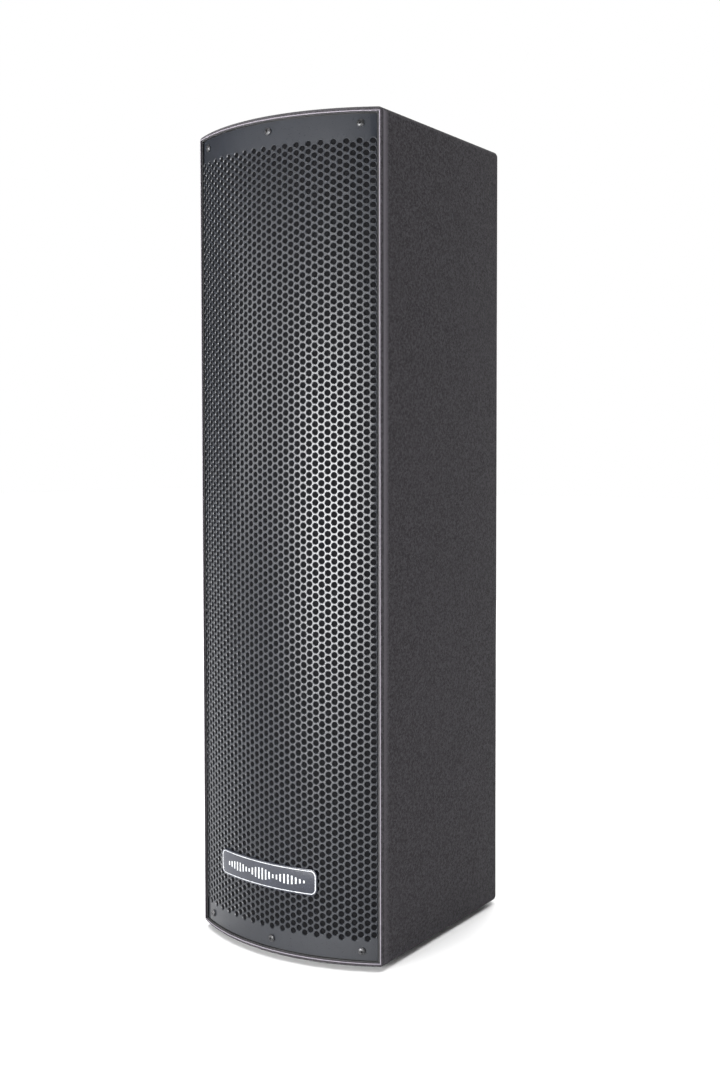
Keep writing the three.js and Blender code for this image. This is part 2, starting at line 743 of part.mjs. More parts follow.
boxPanels();
add("back_panel", backPanel(), paintedWood);
add("front_baffle", baffle(), paintedWood);
add("amp_chamber", ampChamber(), bareWood);
add("carpet_covering", covering(), carpet);
add("grille_sheet", grilleSheet(), grilleCoat);
add("grille_cloth", grilleCloth(), cloth);
add("badge_plate", badgePlate(), badgeGloss);
grilleScrews();
drivers();
add("horn", horn(), blackPlastic, place(0, BAFFLE_FRONT, MIDDLE));
add("compression_driver", compressionDriver(), ferrite, place(0, BAFFLE_FRONT, MIDDLE));
feet();
add("pole_socket", poleSocket(), blackSteel, place(0, SOCKET.y, 0));
add("carry_handle", carryHandle(), blackPlastic);
controls();

export default column;
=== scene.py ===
"""Column loudspeaker: the carpeted cabinet, its bowed perforated front, the drivers behind it and the
amplifier panel at the back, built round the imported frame. Metres, Z up, the grille faces -Y."""

import json
import math

import bmesh
import bpy
import numpy as np
from bpy.props import FloatProperty, FloatVectorProperty, IntProperty, PointerProperty
from bpy.types import Operator, Panel, PropertyGroup
from mathutils import Matrix, Vector


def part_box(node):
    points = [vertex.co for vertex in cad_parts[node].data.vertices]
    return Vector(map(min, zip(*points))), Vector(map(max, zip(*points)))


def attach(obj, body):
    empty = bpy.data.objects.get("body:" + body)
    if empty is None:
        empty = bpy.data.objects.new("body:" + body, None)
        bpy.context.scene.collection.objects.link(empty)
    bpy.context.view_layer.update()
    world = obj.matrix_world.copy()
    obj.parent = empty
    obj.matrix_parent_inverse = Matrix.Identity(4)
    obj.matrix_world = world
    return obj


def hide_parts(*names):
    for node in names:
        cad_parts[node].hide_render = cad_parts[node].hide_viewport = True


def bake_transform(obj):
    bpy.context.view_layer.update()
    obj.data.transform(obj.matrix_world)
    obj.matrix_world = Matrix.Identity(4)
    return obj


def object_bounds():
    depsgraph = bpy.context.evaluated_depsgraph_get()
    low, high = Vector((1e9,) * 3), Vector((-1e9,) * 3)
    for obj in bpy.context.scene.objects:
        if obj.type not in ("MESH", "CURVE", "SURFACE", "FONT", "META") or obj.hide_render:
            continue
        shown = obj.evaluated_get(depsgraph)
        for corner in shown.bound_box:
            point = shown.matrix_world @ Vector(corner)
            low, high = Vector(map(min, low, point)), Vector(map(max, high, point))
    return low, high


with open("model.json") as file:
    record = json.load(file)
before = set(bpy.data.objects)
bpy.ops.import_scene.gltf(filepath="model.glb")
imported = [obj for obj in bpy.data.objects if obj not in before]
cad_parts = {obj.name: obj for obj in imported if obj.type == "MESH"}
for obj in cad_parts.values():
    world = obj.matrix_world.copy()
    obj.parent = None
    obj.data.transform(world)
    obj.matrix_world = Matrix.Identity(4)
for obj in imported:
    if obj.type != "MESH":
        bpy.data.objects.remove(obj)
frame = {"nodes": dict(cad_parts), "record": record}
CAD_LOW, CAD_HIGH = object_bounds()

bl_info = {
    "name": "Column loudspeaker",
    "version": (1, 0, 0),
    "blender": (4, 5, 0),
    "location": "View3D > Sidebar > Column",
    "description": "Builds a carpeted column loudspeaker round its packed frame",
    "category": "Object",
}

RECORD_COLOURS = {m["slot"]: m["base_color"] for m in frame["record"]["materials"]}
SLOT_OF_NODE = {part["node"]: part["material_slot"] for part in frame["record"]["subparts"]}
FINISH_OF_NODE = {"control_panel": "panel_steel"}
MIDDLE_Z = sum(corner.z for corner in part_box("carpet_covering")) / 2
DRIVER_NAMES = ("lowest", "lower", "upper", "highest")
CHANNELS = ("channel_1", "channel_2")
KNOB_NODES = [f"{c}_{k}_knob" for c in CHANNELS for k in ("treble", "bass", "volume")] + ["master_volume_knob"]
SCREW_NODES = [f"grille_screw_{end}_{side}" for end in ("top", "bottom") for side in ("left", "middle", "right")]

TRIM = 1  # index of a piece's second material, which its pointer lines, signs and contacts take

# Each view's local X runs to the right as seen from that side, Y up and Z towards the eye.
FROM_FRONT = Matrix(((1, 0, 0, 0), (0, 0, -1, 0), (0, 1, 0, 0), (0, 0, 0, 1)))
FROM_BACK = Matrix(((-1, 0, 0, 0), (0, 0, 1, 0), (0, 1, 0, 0), (0, 0, 0, 1)))
FROM_BELOW = Matrix(((1, 0, 0, 0), (0, -1, 0, 0), (0, 0, -1, 0), (0, 0, 0, 1)))


# ---------------------------------------------------------------- sizes and colours

def length(name, description, default):
    return FloatProperty(name=name, description=description, default=default, min=0, unit="LENGTH", precision=4)


def colour(name, description, default):
    return FloatVectorProperty(
        name=name, description=description, default=tuple(default), size=3, min=0, max=1, subtype="COLOR"
    )


class ColumnSizes(PropertyGroup):
    bow: length("Bow", "How far the middle of the front stands ahead of its corners", 0.031)
    edge_radius: length("Edge radius", "Rounding of the cabinet's top and bottom edges", 0.006)
    front_corner: length("Front corner", "Rounding of the upright front corners", 0.0026)
    rear_corner: length("Rear corner", "Rounding of the upright rear corners", 0.0065)
    lip_side: length("Side lip", "Width of the carpeted lip beside the grille", 0.0023)
    lip_end: length("End lip", "Width of the carpeted lip above and below the grille", 0.0056)
    lip_fold: length("Lip fold", "Radius of the fold where the carpet turns into the rebate", 0.0007)
    carpet: length("Carpet", "Thickness of the carpet", 0.0008)
    sheet: length("Sheet steel", "Thickness of the grille's steel", 0.0012)
    grille_recess: length("Grille recess", "How far the grille lies behind the lip", 0.0027)
    hole_pitch: length("Hole pitch", "Distance between the centres of neighbouring holes", 0.008)
    hole: length("Hole", "Diameter of a grille hole", 0.006)
    hole_roll: length("Rolled rim", "Width of the rounded rim of a hole", 0.00055)
    edge_roll: length("Rolled margin", "How far the grille's upright edges roll back", 0.0005)
    hole_columns: IntProperty(name="Hole columns", description="Upright rows of holes", default=35, min=3)
    hole_rows: IntProperty(name="Hole rows", description="Holes in one upright row", default=102, min=3)
    badge_border: length("Badge border", "Distance of the badge's silver line from its edge", 0.0016)
    badge_line: length("Badge line", "Width of the badge's silver line", 0.0009)
    knob_ridges: IntProperty(name="Knob ridges", description="Grip ridges round a control knob", default=24, min=6)


class ColumnColours(PropertyGroup):
    carpet: colour("Carpet", "Charcoal carpet", (0.030, 0.0275, 0.0315))
    powder: colour("Powder coat", "Coat of the grille", (0.009, 0.0105, 0.0145))
    gloss: colour("Gloss", "Face of the badge", RECORD_COLOURS["badge_gloss"])
    silver: colour("Silver", "Line and bars of the badge", (0.62, 0.64, 0.68))
    plastic: colour("Plastic", "Moulded parts", RECORD_COLOURS["black_plastic"])
    steel: colour("Black steel", "Panel, screws and pole socket", RECORD_COLOURS["black_steel"])
    ink: colour("Ink", "Printed marks on the control panel", (0.62, 0.62, 0.60))


class ColumnStage(PropertyGroup):
    floor: colour("Floor", "Pale floor", (0.93, 0.93, 0.93))
    surround: FloatProperty(name="Surround", description="Brightness of the pale room", default=0.16, min=0)
    front_panel: FloatProperty(
        name="Front light", description="Soft panel before the grille", default=100.0, min=0, unit="POWER"
    )
    left_panel: FloatProperty(
        name="Left light", description="Wide soft panel left of the front", default=26.0, min=0, unit="POWER"
    )
    side_panel: FloatProperty(
        name="Side light", description="Soft panel right of the front", default=3.0, min=0, unit="POWER"
    )
    rear_panel: FloatProperty(
        name="Rear light", description="Wide soft panel behind the cabinet", default=60.0, min=0, unit="POWER"
    )
    overhead: FloatProperty(name="Overhead light", description="Even light from above", default=3.3, min=0)


def sizes():
    return bpy.context.scene.column_sizes


def colours():
    return bpy.context.scene.column_colours


# ---------------------------------------------------------------- the bowed front

class Bow:
    """The arc that the front follows: places are given by distance along it, height and depth out."""

    def __init__(self):
        half = (CAD_HIGH.x - CAD_LOW.x) / 2
        bow = sizes().bow
        self.face = (half ** 2 + bow ** 2) / (2 * bow)
        self.centre_y = CAD_LOW.y + self.face
        self.grille = self.face - sizes().grille_recess

    def point(self, along, height, radius):
        angle = along / self.grille
        return Vector((radius * math.sin(angle), self.centre_y - radius * math.cos(angle), height))

    def bend(self, obj):
        """Wraps a flat piece, drawn as (along, height, out from the grille's face), onto the grille."""
        for vertex in obj.data.vertices:
            along, height, out = vertex.co
            vertex.co = self.point(along, height, self.grille + out)
        obj.data.update()


# ---------------------------------------------------------------- forms

def rounded_outline(width, height, radius, steps=6):
    """Points of a rounded rectangle about the origin, counter-clockwise."""
    points = []
    for quarter, (sx, sy) in enumerate(((1, 1), (-1, 1), (-1, -1), (1, -1))):
        cx, cy = sx * (width / 2 - radius), sy * (height / 2 - radius)
        for i in range(steps + 1):
            angle = (quarter + i / steps) * math.pi / 2
            points.append((cx + radius * math.cos(angle), cy + radius * math.sin(angle)))
    return points


class Form:
    """The parts of one piece, gathered in the view's own axes and made into an object at the end."""

    def __init__(self, at=None):
        self.bm = bmesh.new()
        self.at = at or Matrix.Identity(4)

    def ring(self, points):
        return [self.bm.verts.new(self.at @ Vector(p)) for p in points]

    def bridge(self, lower, upper, look):
        count = max(len(lower), len(upper))
        for i in range(count):
            j = (i + 1) % count
            if len(lower) == 1:
                corners = (lower[0], upper[j], upper[i])
            elif len(upper) == 1:
                corners = (lower[i], lower[j], upper[0])
            else:
                corners = (lower[i], lower[j], upper[j], upper[i])
            self.bm.faces.new(corners).material_index = look

    def loft(self, rings, look=0, closed_ends=True):
        made = [self.ring(ring) for ring in rings]
        for lower, upper in zip(made, made[1:]):
            self.bridge(lower, upper, look)
        if closed_ends:
            for end in (made[0], made[-1]):
                if len(end) > 2:
                    self.bm.faces.new(end).material_index = look
        return self

    def lathe(self, profile, steps=48, centre=(0, 0), look=0, wave=None):
        """Turns (radius, height) pairs round the view's Z. wave(angle, radius, height) may change a radius."""
        rings = []
        for radius, height in profile:
            if radius < 1e-7:
                rings.append([(centre[0], centre[1], height)])
                continue
            ring = []
            for i in range(steps):
                angle = 2 * math.pi * i / steps
                r = wave(angle, radius, height) if wave else radius
                ring.append((centre[0] + r * math.cos(angle), centre[1] + r * math.sin(angle), height))
            rings.append(ring)
        if profile[0] == profile[-1] and profile[0][0] > 1e-7:
            made = [self.ring(ring) for ring in rings[:-1]]
            for lower, upper in zip(made, made[1:] + made[:1]):
                self.bridge(lower, upper, look)
            return self
        return self.loft(rings, look, closed_ends=False)

    def prism(self, outline, low, high, centre=(0, 0), look=0):
        rings = [[(centre[0] + x, centre[1] + y, z) for x, y in outline] for z in (low, high)]
        return self.loft(rings, look)

    def frame(self, outer, inner, low, high, centre=(0, 0), look=0):
        """A flat ring between two outlines with the same number of points."""
        corners = ((outer, low), (outer, high), (inner, high), (inner, low))
        rings = [self.ring([(centre[0] + x, centre[1] + y, z) for x, y in outline]) for outline, z in corners]
        for a, b in zip(rings, rings[1:] + rings[:1]):
            self.bridge(a, b, look)
        return self

    def block(self, low, high, look=0):
        (x0, y0, z0), (x1, y1, z1) = low, high
        return self.prism([(x0, y0), (x1, y0), (x1, y1), (x0, y1)], z0, z1, look=look)

    def insert(self, mesh, place):
        """Adds a copy of a finished mesh, placed by a matrix in the view's axes."""
        other = mesh.copy()
        other.transform(self.at @ place)
        self.bm.from_mesh(other)
        bpy.data.meshes.remove(other)
        return self

    def make(self, name, bevel=0.0, segments=2, smooth=38):
        bmesh.ops.recalc_face_normals(self.bm, faces=self.bm.faces)
        mesh = bpy.data.meshes.new(name)
        self.bm.to_mesh(mesh)
        self.bm.free()
        obj = bpy.data.objects.new(name, mesh)
        bpy.context.scene.collection.objects.link(obj)
        if bevel:
            rounding = obj.modifiers.new("Rounding", "BEVEL")
            rounding.width = bevel
            rounding.segments = segments
            rounding.limit_method = "ANGLE"
            rounding.angle_limit = math.radians(40)
            rounding.use_clamp_overlap = True
            apply_modifiers(obj)
        shade(obj, smooth)
        return obj


def joined(name, *parts, smooth=40):
    """One object from several, which are used up."""
    whole = Form()
    for part in parts:
        whole.bm.from_mesh(part.data)
        bpy.data.objects.remove(part)
    return whole.make(name, smooth=smooth)


def apply_modifiers(obj):
    depsgraph = bpy.context.evaluated_depsgraph_get()
    mesh = bpy.data.meshes.new_from_object(obj.evaluated_get(depsgraph))
    old, name = obj.data, obj.data.name
    obj.modifiers.clear()
    obj.data = mesh
    bpy.data.meshes.remove(old)
    mesh.name = name


def shade(obj, angle):
    obj.data.polygons.foreach_set("use_smooth", [True] * len(obj.data.polygons))
    obj.data.set_sharp_from_angle(angle=math.radians(angle))


def cut(obj, tool, smooth=38):
    """Takes the tool's shape out of obj."""
    knife = tool.make(obj.name + "_knife")
    boolean = obj.modifiers.new("Cut", "BOOLEAN")
    boolean.operation = "DIFFERENCE"
    boolean.solver = "EXACT"
    boolean.object = knife
    apply_modifiers(obj)
    bpy.data.objects.remove(knife)
    shade(obj, smooth)
    return obj


def settle(obj, body, slot, *finishes, replaces=()):
    """Gives a finished piece its materials, its slot and the body it moves with."""
    obj.data.materials.clear()
    for name in finishes or (slot,):
        obj.data.materials.append(finish(name))
    if body:
        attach(obj, body)
    if replaces:
        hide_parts(*replaces)
    return obj


def at(x, y, z, view=FROM_BACK):
    return Matrix.Translation((x, y, z)) @ view


def middle(node):
    low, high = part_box(node)
    return (low + high) / 2


# ---------------------------------------------------------------- shader effects

class Nodes:
    """A node tree being wired: place() makes a node and fills or joins its sockets by name."""

    def __init__(self, tree):
        self.tree = tree
        self.tree.nodes.clear()

    def place(self, kind, settings=None, **sockets):
        node = self.tree.nodes.new(kind)
        for name, value in (settings or {}).items():
            setattr(node, name, value)
        for name, value in sockets.items():
            self.give(node.inputs[name.replace("_", " ")], value)
        return node

    def give(self, socket, value):
        if isinstance(value, bpy.types.NodeSocket):
            self.tree.links.new(value, socket)
        else:
            socket.default_value = value

    def math(self, operation, first, second=0.0, clamp=False):
        node = self.place("ShaderNodeMath", {"operation": operation, "use_clamp": clamp})
        self.give(node.inputs[0], first)
        self.give(node.inputs[1], second)
        return node.outputs[0]

    def remap(self, value, low, high, to_low=0.0, to_high=1.0):
        node = self.place("ShaderNodeMapRange")
        for socket, given in zip(node.inputs, (value, low, high, to_low, to_high)):
            self.give(socket, given)
        return node.outputs[0]

    def mix(self, amount, first, second):
        node = self.place("ShaderNodeMix", {"data_type": "RGBA"})
        for socket, given in zip((node.inputs[0], node.inputs[6], node.inputs[7]), (amount, first, second)):
            self.give(socket, given)
        return node.outputs[2]

    def noise(self, vector, scale, detail=2.0, roughness=0.5):
        node = self.place("ShaderNodeTexNoise", Vector=vector, Scale=scale, Detail=detail, Roughness=roughness)
        return node.outputs["Fac"]

    def places(self):
        return self.place("ShaderNodeTexCoord").outputs["Object"]


def new_group(name, inputs, outputs):
    tree = bpy.data.node_groups.new(name, "ShaderNodeTree")
    nodes = Nodes(tree)
    for label, kind, default in inputs:
        tree.interface.new_socket(label, in_out="INPUT", socket_type=kind).default_value = default
    for label, kind in outputs:
        tree.interface.new_socket(label, in_out="OUTPUT", socket_type=kind)
    start, end = nodes.place("NodeGroupInput"), nodes.place("NodeGroupOutput")
    return nodes, start.outputs, end.inputs


def grain_group():
    """Fine surface grain: a height for bumps and a shade that varies slowly and finely."""
    nodes, given, out = new_group(
        "Fine grain",
        [("Cells", "NodeSocketFloat", 900.0), ("Patches", "NodeSocketFloat", 14.0)],
        [("Height", "NodeSocketFloat"), ("Shade", "NodeSocketFloat"), ("Patch", "NodeSocketFloat")],
    )
    place = nodes.places()
    fine = nodes.noise(place, given["Cells"], 3.0, 0.6)
    broad = nodes.noise(place, given["Patches"], 4.0, 0.6)
    nodes.give(out["Height"], fine)
    nodes.give(out["Shade"], nodes.remap(fine, 0.3, 0.7))
    nodes.give(out["Patch"], nodes.remap(broad, 0.3, 0.7))
    return nodes.tree


def wear_and_sheen_group():
    """Where handling has rubbed the outer edges; on the carpet the same mask also paints a sheen along its rounded
    edges.
    """
    nodes, given, out = new_group(
        "Edge wear and painted sheen",
        [("Reach", "NodeSocketFloat", 0.08), ("Breaks", "NodeSocketFloat", 220.0)],
        [("Mask", "NodeSocketFloat")],
    )
    pointed = nodes.place("ShaderNodeNewGeometry").outputs["Pointiness"]
    edge = nodes.remap(pointed, 0.505, nodes.math("ADD", given["Reach"], 0.505))
    broken = nodes.remap(nodes.noise(nodes.places(), given["Breaks"], 4.0, 0.7), 0.38, 0.62)
    nodes.give(out["Mask"], nodes.math("MULTIPLY", edge, broken, clamp=True))
    return nodes.tree


def dust_group():
    """Pale dust that settles on what faces up and gathers in soft patches."""
    nodes, given, out = new_group(
        "Dust",
        [("Amount", "NodeSocketFloat", 0.25), ("Patches", "NodeSocketFloat", 30.0)],
        [("Mask", "NodeSocketFloat")],
    )
    normal = nodes.place("ShaderNodeNewGeometry").outputs["Normal"]
    facing = nodes.place("ShaderNodeSeparateXYZ", Vector=normal).outputs["Z"]
    lying = nodes.remap(facing, 0.2, 1.0, 0.12, 1.0)
    patches = nodes.remap(nodes.noise(nodes.places(), given["Patches"], 5.0, 0.65), 0.35, 0.75)
    settled = nodes.math("MULTIPLY", lying, patches)
    nodes.give(out["Mask"], nodes.math("MULTIPLY", settled, given["Amount"], clamp=True))
    return nodes.tree


def effect(name):
    makers = {"Fine grain": grain_group, "Edge wear and painted sheen": wear_and_sheen_group, "Dust": dust_group}
    return bpy.data.node_groups.get(name) or makers[name]()


def new_material(name, **uniform):
    """A material with its Principled shader, whose uniform values are set on its own sockets."""
    material = bpy.data.materials.new(f"{name}_finish")
    material.use_nodes = True
    nodes = Nodes(material.node_tree)
    shader = nodes.place("ShaderNodeBsdfPrincipled", **uniform)
    end = nodes.place("ShaderNodeOutputMaterial")
    nodes.give(end.inputs["Surface"], shader.outputs[0])
    return material, nodes, shader.inputs


def use(nodes, name, **values):
    return nodes.place("ShaderNodeGroup", {"node_tree": effect(name)}, **values).outputs


def bump(nodes, height, distance):
    return nodes.place("ShaderNodeBump", Height=height, Distance=distance, Strength=1.0).outputs["Normal"]


def rgba(value):
    return (*value[:3], 1.0)


def shaded(value, factor):
    return rgba([min(1.0, channel * factor) for channel in value])


# ---------------------------------------------------------------- finishes

def hard_finish(
    name, tone, roughness, cells=900.0, depth=0.00003, worn=None, rubbed=True, dust=0.12, **uniform
):
    """Coated, moulded or machined stock: fine grain, rubbed edges and a little dust."""
    material, nodes, sockets = new_material(name, **uniform)
    grain = use(nodes, "Fine grain", Cells=cells)
    body = nodes.mix(grain["Patch"], shaded(tone, 0.86), shaded(tone, 1.14))
    if rubbed:
        body = nodes.mix(use(nodes, "Edge wear and painted sheen")["Mask"], body, rgba(worn) if worn else shaded(tone, 2.2))
    settled = use(nodes, "Dust", Amount=dust)["Mask"]
    nodes.give(sockets["Base Color"], nodes.mix(settled, body, (0.22, 0.21, 0.2, 1)))
    nodes.give(sockets["Roughness"], nodes.remap(grain["Shade"], 0, 1, roughness - 0.05, roughness + 0.07))
    nodes.give(sockets["Normal"], bump(nodes, grain["Height"], depth))
    return material


def carpet_finish():
    """Short needle-punched pile: matted fibres, paler flecks and slow changes of shade, with painted highlights on
    its rounded edges, along the lip's fold and down the front corners.
    """
    tone = colours().carpet
    material, nodes, sockets = new_material(
        "carpet", Roughness=0.95, Sheen_Weight=0.06, Sheen_Roughness=0.5, Specular_IOR_Level=0.15
    )
    place = nodes.places()
    tufts = nodes.noise(place, 420.0, 3.0, 0.6)
    fibres = nodes.noise(place, 1500.0, 2.0, 0.6)
    clumps = nodes.noise(place, 120.0, 3.0, 0.55)
    patches = nodes.noise(place, 11.0, 3.0, 0.5)
    body = nodes.mix(nodes.remap(tufts, 0.38, 0.62), shaded(tone, 0.4), shaded(tone, 1.7))
    body = nodes.mix(nodes.remap(clumps, 0.3, 0.7, 0.0, 0.3), body, shaded(tone, 0.6))
    body = nodes.mix(nodes.remap(patches, 0.35, 0.65, 0.0, 0.16), body, shaded(tone, 1.3))
    flecks = nodes.remap(fibres, 0.6, 0.74, 0.0, 0.55)
    body = nodes.mix(flecks, body, shaded(tone, 3.0))
    # Lighter rounded edges: worn pile together with a painted sheen where the edges catch the light.
    stretched = use(nodes, "Edge wear and painted sheen", Reach=0.06, Breaks=400.0)["Mask"]
    body = nodes.mix(stretched, body, shaded(tone, 2.0))
    # Painted highlight, far paler than the carpet, along the lip's fold.
    body = nodes.mix(painted_fold_highlight(nodes, place), body, shaded(tone, 7.5))
    # Painted highlight down each side, just behind the front corner.
    body = nodes.mix(painted_corner_highlight(nodes, place), body, shaded(tone, 3.8))
    settled = use(nodes, "Dust", Amount=0.1, Patches=60.0)["Mask"]
    nodes.give(sockets["Base Color"], nodes.mix(settled, body, (0.2, 0.19, 0.18, 1)))
    height = nodes.math("ADD", nodes.math("MULTIPLY", tufts, 1.4), fibres)
    nodes.give(sockets["Normal"], bump(nodes, height, 0.00045))
    return material


def painted_fold_highlight(nodes, place):
    """A painted highlight along the fold where the carpet turns in over the lip round the grille."""
    form = sizes()
    low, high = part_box("carpet_covering")
    axes = nodes.place("ShaderNodeSeparateXYZ", Vector=place).outputs
    beside = nodes.math("SUBTRACT", nodes.math("ABSOLUTE", axes["X"]), high.x - form.lip_side)
    rise = nodes.math("ABSOLUTE", nodes.math("SUBTRACT", axes["Z"], MIDDLE_Z))
    above = nodes.math("SUBTRACT", rise, (high.z - low.z) / 2 - form.lip_end)
    away = nodes.math("MAXIMUM", beside, above)
    inner = nodes.remap(away, 0.0001, 0.0004)
    outer = nodes.remap(away, 0.0009, 0.0012, 1.0, 0.0)
    front = nodes.remap(axes["Y"], -0.0945, -0.0965)
    return nodes.math("MULTIPLY", nodes.math("MULTIPLY", inner, outer), front, clamp=True)


def painted_corner_highlight(nodes, place):
    """A painted highlight down each side, just behind the front corner, fading towards the bottom."""
    form, high = sizes(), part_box("carpet_covering")[1]
    axes = nodes.place("ShaderNodeSeparateXYZ", Vector=place).outputs
    beside = nodes.remap(nodes.math("ABSOLUTE", axes["X"]), high.x - 0.001, high.x - 0.0002)
    corner = CAD_LOW.y + form.bow
    behind = nodes.math("SUBTRACT", axes["Y"], corner)
    near = nodes.remap(behind, 0.0028, 0.0042)
    far = nodes.remap(behind, 0.006, 0.013, 1.0, 0.0)
    # The painted highlight is brighter higher up, where the light falls.
    rubbed = nodes.remap(axes["Z"], 0.1, 0.6, 0.3, 1.0)
    line = nodes.math("MULTIPLY", nodes.math("MULTIPLY", near, far), beside)
    return nodes.math("MULTIPLY", line, rubbed, clamp=True)


def powder_finish():
    """Satin powder coat on the perforated steel, with its faint orange peel."""
    tone = colours().powder
    material, nodes, sockets = new_material("grille_coat", Specular_IOR_Level=0.55)
    grain = use(nodes, "Fine grain", Cells=1100.0, Patches=9.0)
    body = nodes.mix(grain["Patch"], shaded(tone, 0.9), shaded(tone, 1.12))
    settled = use(nodes, "Dust", Amount=0.05)["Mask"]
    nodes.give(sockets["Base Color"], nodes.mix(settled, body, (0.2, 0.2, 0.2, 1)))
    nodes.give(sockets["Roughness"], nodes.remap(grain["Shade"], 0, 1, 0.27, 0.36))
    nodes.give(sockets["Normal"], bump(nodes, grain["Height"], 0.00002))
    return material


def cloth_finish():
    """Open black acoustic weave."""
    tone = RECORD_COLOURS["grille_cloth"]
    material, nodes, sockets = new_material("grille_cloth", Roughness=0.95, Specular_IOR_Level=0.1)
    place = nodes.places()
    weft, warp = (
        nodes.place("ShaderNodeTexWave", {"bands_direction": way}, Vector=place, Scale=300.0, Distortion=0.6)
        for way in "ZX"
    )
    threads = nodes.math("MAXIMUM", weft.outputs["Fac"], warp.outputs["Fac"])
    uneven = nodes.remap(nodes.noise(place, 260.0, 2.0), 0.4, 0.75, 0.0, 0.7)
    body = nodes.mix(threads, shaded(tone, 0.25), shaded(tone, 0.8))
    nodes.give(sockets["Base Color"], nodes.mix(uneven, body, shaded(tone, 1.4)))
    nodes.give(sockets["Normal"], bump(nodes, threads, 0.0002))
    return material


def painted_wood_finish():
    """Black water-based paint over board, with faint pores."""
    return hard_finish("painted_wood", RECORD_COLOURS["painted_wood"], 0.62, cells=420.0, depth=0.00008)


def bare_wood_finish():
    """Unpainted board with stretched grain."""
    tone = RECORD_COLOURS["bare_wood"]
    material, nodes, sockets = new_material("bare_wood")
    stretched = nodes.place("ShaderNodeMapping", Vector=nodes.places(), Scale=(1.0, 1.0, 0.08)).outputs[0]
    rings = nodes.noise(stretched, 90.0, 5.0, 0.65)
    pores = nodes.noise(stretched, 900.0, 2.0, 0.5)
    body = nodes.mix(nodes.remap(rings, 0.35, 0.65), shaded(tone, 0.72), shaded(tone, 1.15))
    open_pores = nodes.remap(pores, 0.5, 0.7, 0, 0.4)
    nodes.give(sockets["Base Color"], nodes.mix(open_pores, body, shaded(tone, 0.5)))
    nodes.give(sockets["Roughness"], nodes.remap(rings, 0.3, 0.7, 0.6, 0.8))
    nodes.give(sockets["Normal"], bump(nodes, pores, 0.00008))
    return material


def paper_finish():
    """Pressed pulp with short fibres and faint ripples."""
    tone = RECORD_COLOURS["cone_paper"]
    material, nodes, sockets = new_material("cone_paper", Sheen_Weight=0.1)
    place = nodes.places()
    pulp = nodes.noise(place, 700.0, 5.0, 0.7)
    body = nodes.mix(nodes.remap(pulp, 0.35, 0.65), shaded(tone, 0.6), shaded(tone, 1.6))
    nodes.give(sockets["Base Color"], body)
    nodes.give(sockets["Roughness"], nodes.remap(pulp, 0.3, 0.7, 0.72, 0.9))
    nodes.give(sockets["Normal"], bump(nodes, pulp, 0.0002))
    return material


def board_finish():
    """Green solder resist over copper tracks."""
    tone = RECORD_COLOURS["circuit_board"]
    material, nodes, sockets = new_material("circuit_board")
    place = nodes.places()
    bricks = nodes.place("ShaderNodeTexBrick", Vector=place, Scale=60.0, Mortar_Size=0.03)
    tracks = nodes.remap(bricks.outputs["Fac"], 0.0, 1.0)
    grain = use(nodes, "Fine grain", Cells=500.0)
    body = nodes.mix(tracks, shaded(tone, 1.0), shaded(tone, 2.1))
    nodes.give(sockets["Base Color"], nodes.mix(grain["Patch"], body, shaded(tone, 0.7)))
    nodes.give(sockets["Roughness"], nodes.remap(grain["Shade"], 0, 1, 0.32, 0.45))
    nodes.give(sockets["Normal"], bump(nodes, tracks, 0.00005))
    return material


def winding_finish():
    """Turns of varnished copper wire, with tape between the layers."""
    tone = RECORD_COLOURS["winding"]
    material, nodes, sockets = new_material("winding", Metallic=0.7)
    place = nodes.places()
    settings = {"bands_direction": "Y"}
    turns = nodes.place("ShaderNodeTexWave", settings, Vector=place, Scale=260.0, Distortion=1.5).outputs["Fac"]
    nodes.give(sockets["Base Color"], nodes.mix(turns, shaded(tone, 0.4), shaded(tone, 1.2)))
    nodes.give(sockets["Roughness"], nodes.remap(turns, 0, 1, 0.5, 0.3))
    nodes.give(sockets["Normal"], bump(nodes, turns, 0.0003))
    return material


def brushed_finish(name, tone, roughness):
    """Metal with fine upright brush marks."""
    material, nodes, sockets = new_material(name, Metallic=1.0)
    along = nodes.place("ShaderNodeMapping", Vector=nodes.places(), Scale=(1.0, 1.0, 0.04)).outputs[0]
    strokes = nodes.noise(along, 2600.0, 3.0, 0.6)
    grain = use(nodes, "Fine grain", Cells=600.0)
    body = nodes.mix(nodes.remap(strokes, 0.3, 0.7), shaded(tone, 0.8), shaded(tone, 1.15))
    nodes.give(sockets["Base Color"], nodes.mix(use(nodes, "Edge wear and painted sheen")["Mask"], body, shaded(tone, 1.6)))
    nodes.give(sockets["Roughness"], nodes.remap(grain["Shade"], 0, 1, roughness - 0.05, roughness + 0.1))
    nodes.give(sockets["Normal"], bump(nodes, strokes, 0.00002))
    return material


def ink_finish():
    """Screen-printed marks, slightly uneven in cover."""
    tone = colours().ink
    material, nodes, sockets = new_material("panel_ink", Roughness=0.6)
    cover = nodes.noise(nodes.places(), 1500.0, 3.0, 0.6)
    body = nodes.mix(nodes.remap(cover, 0.3, 0.6), shaded(tone, 0.75), rgba(tone))
    nodes.give(sockets["Base Color"], body)
    return material


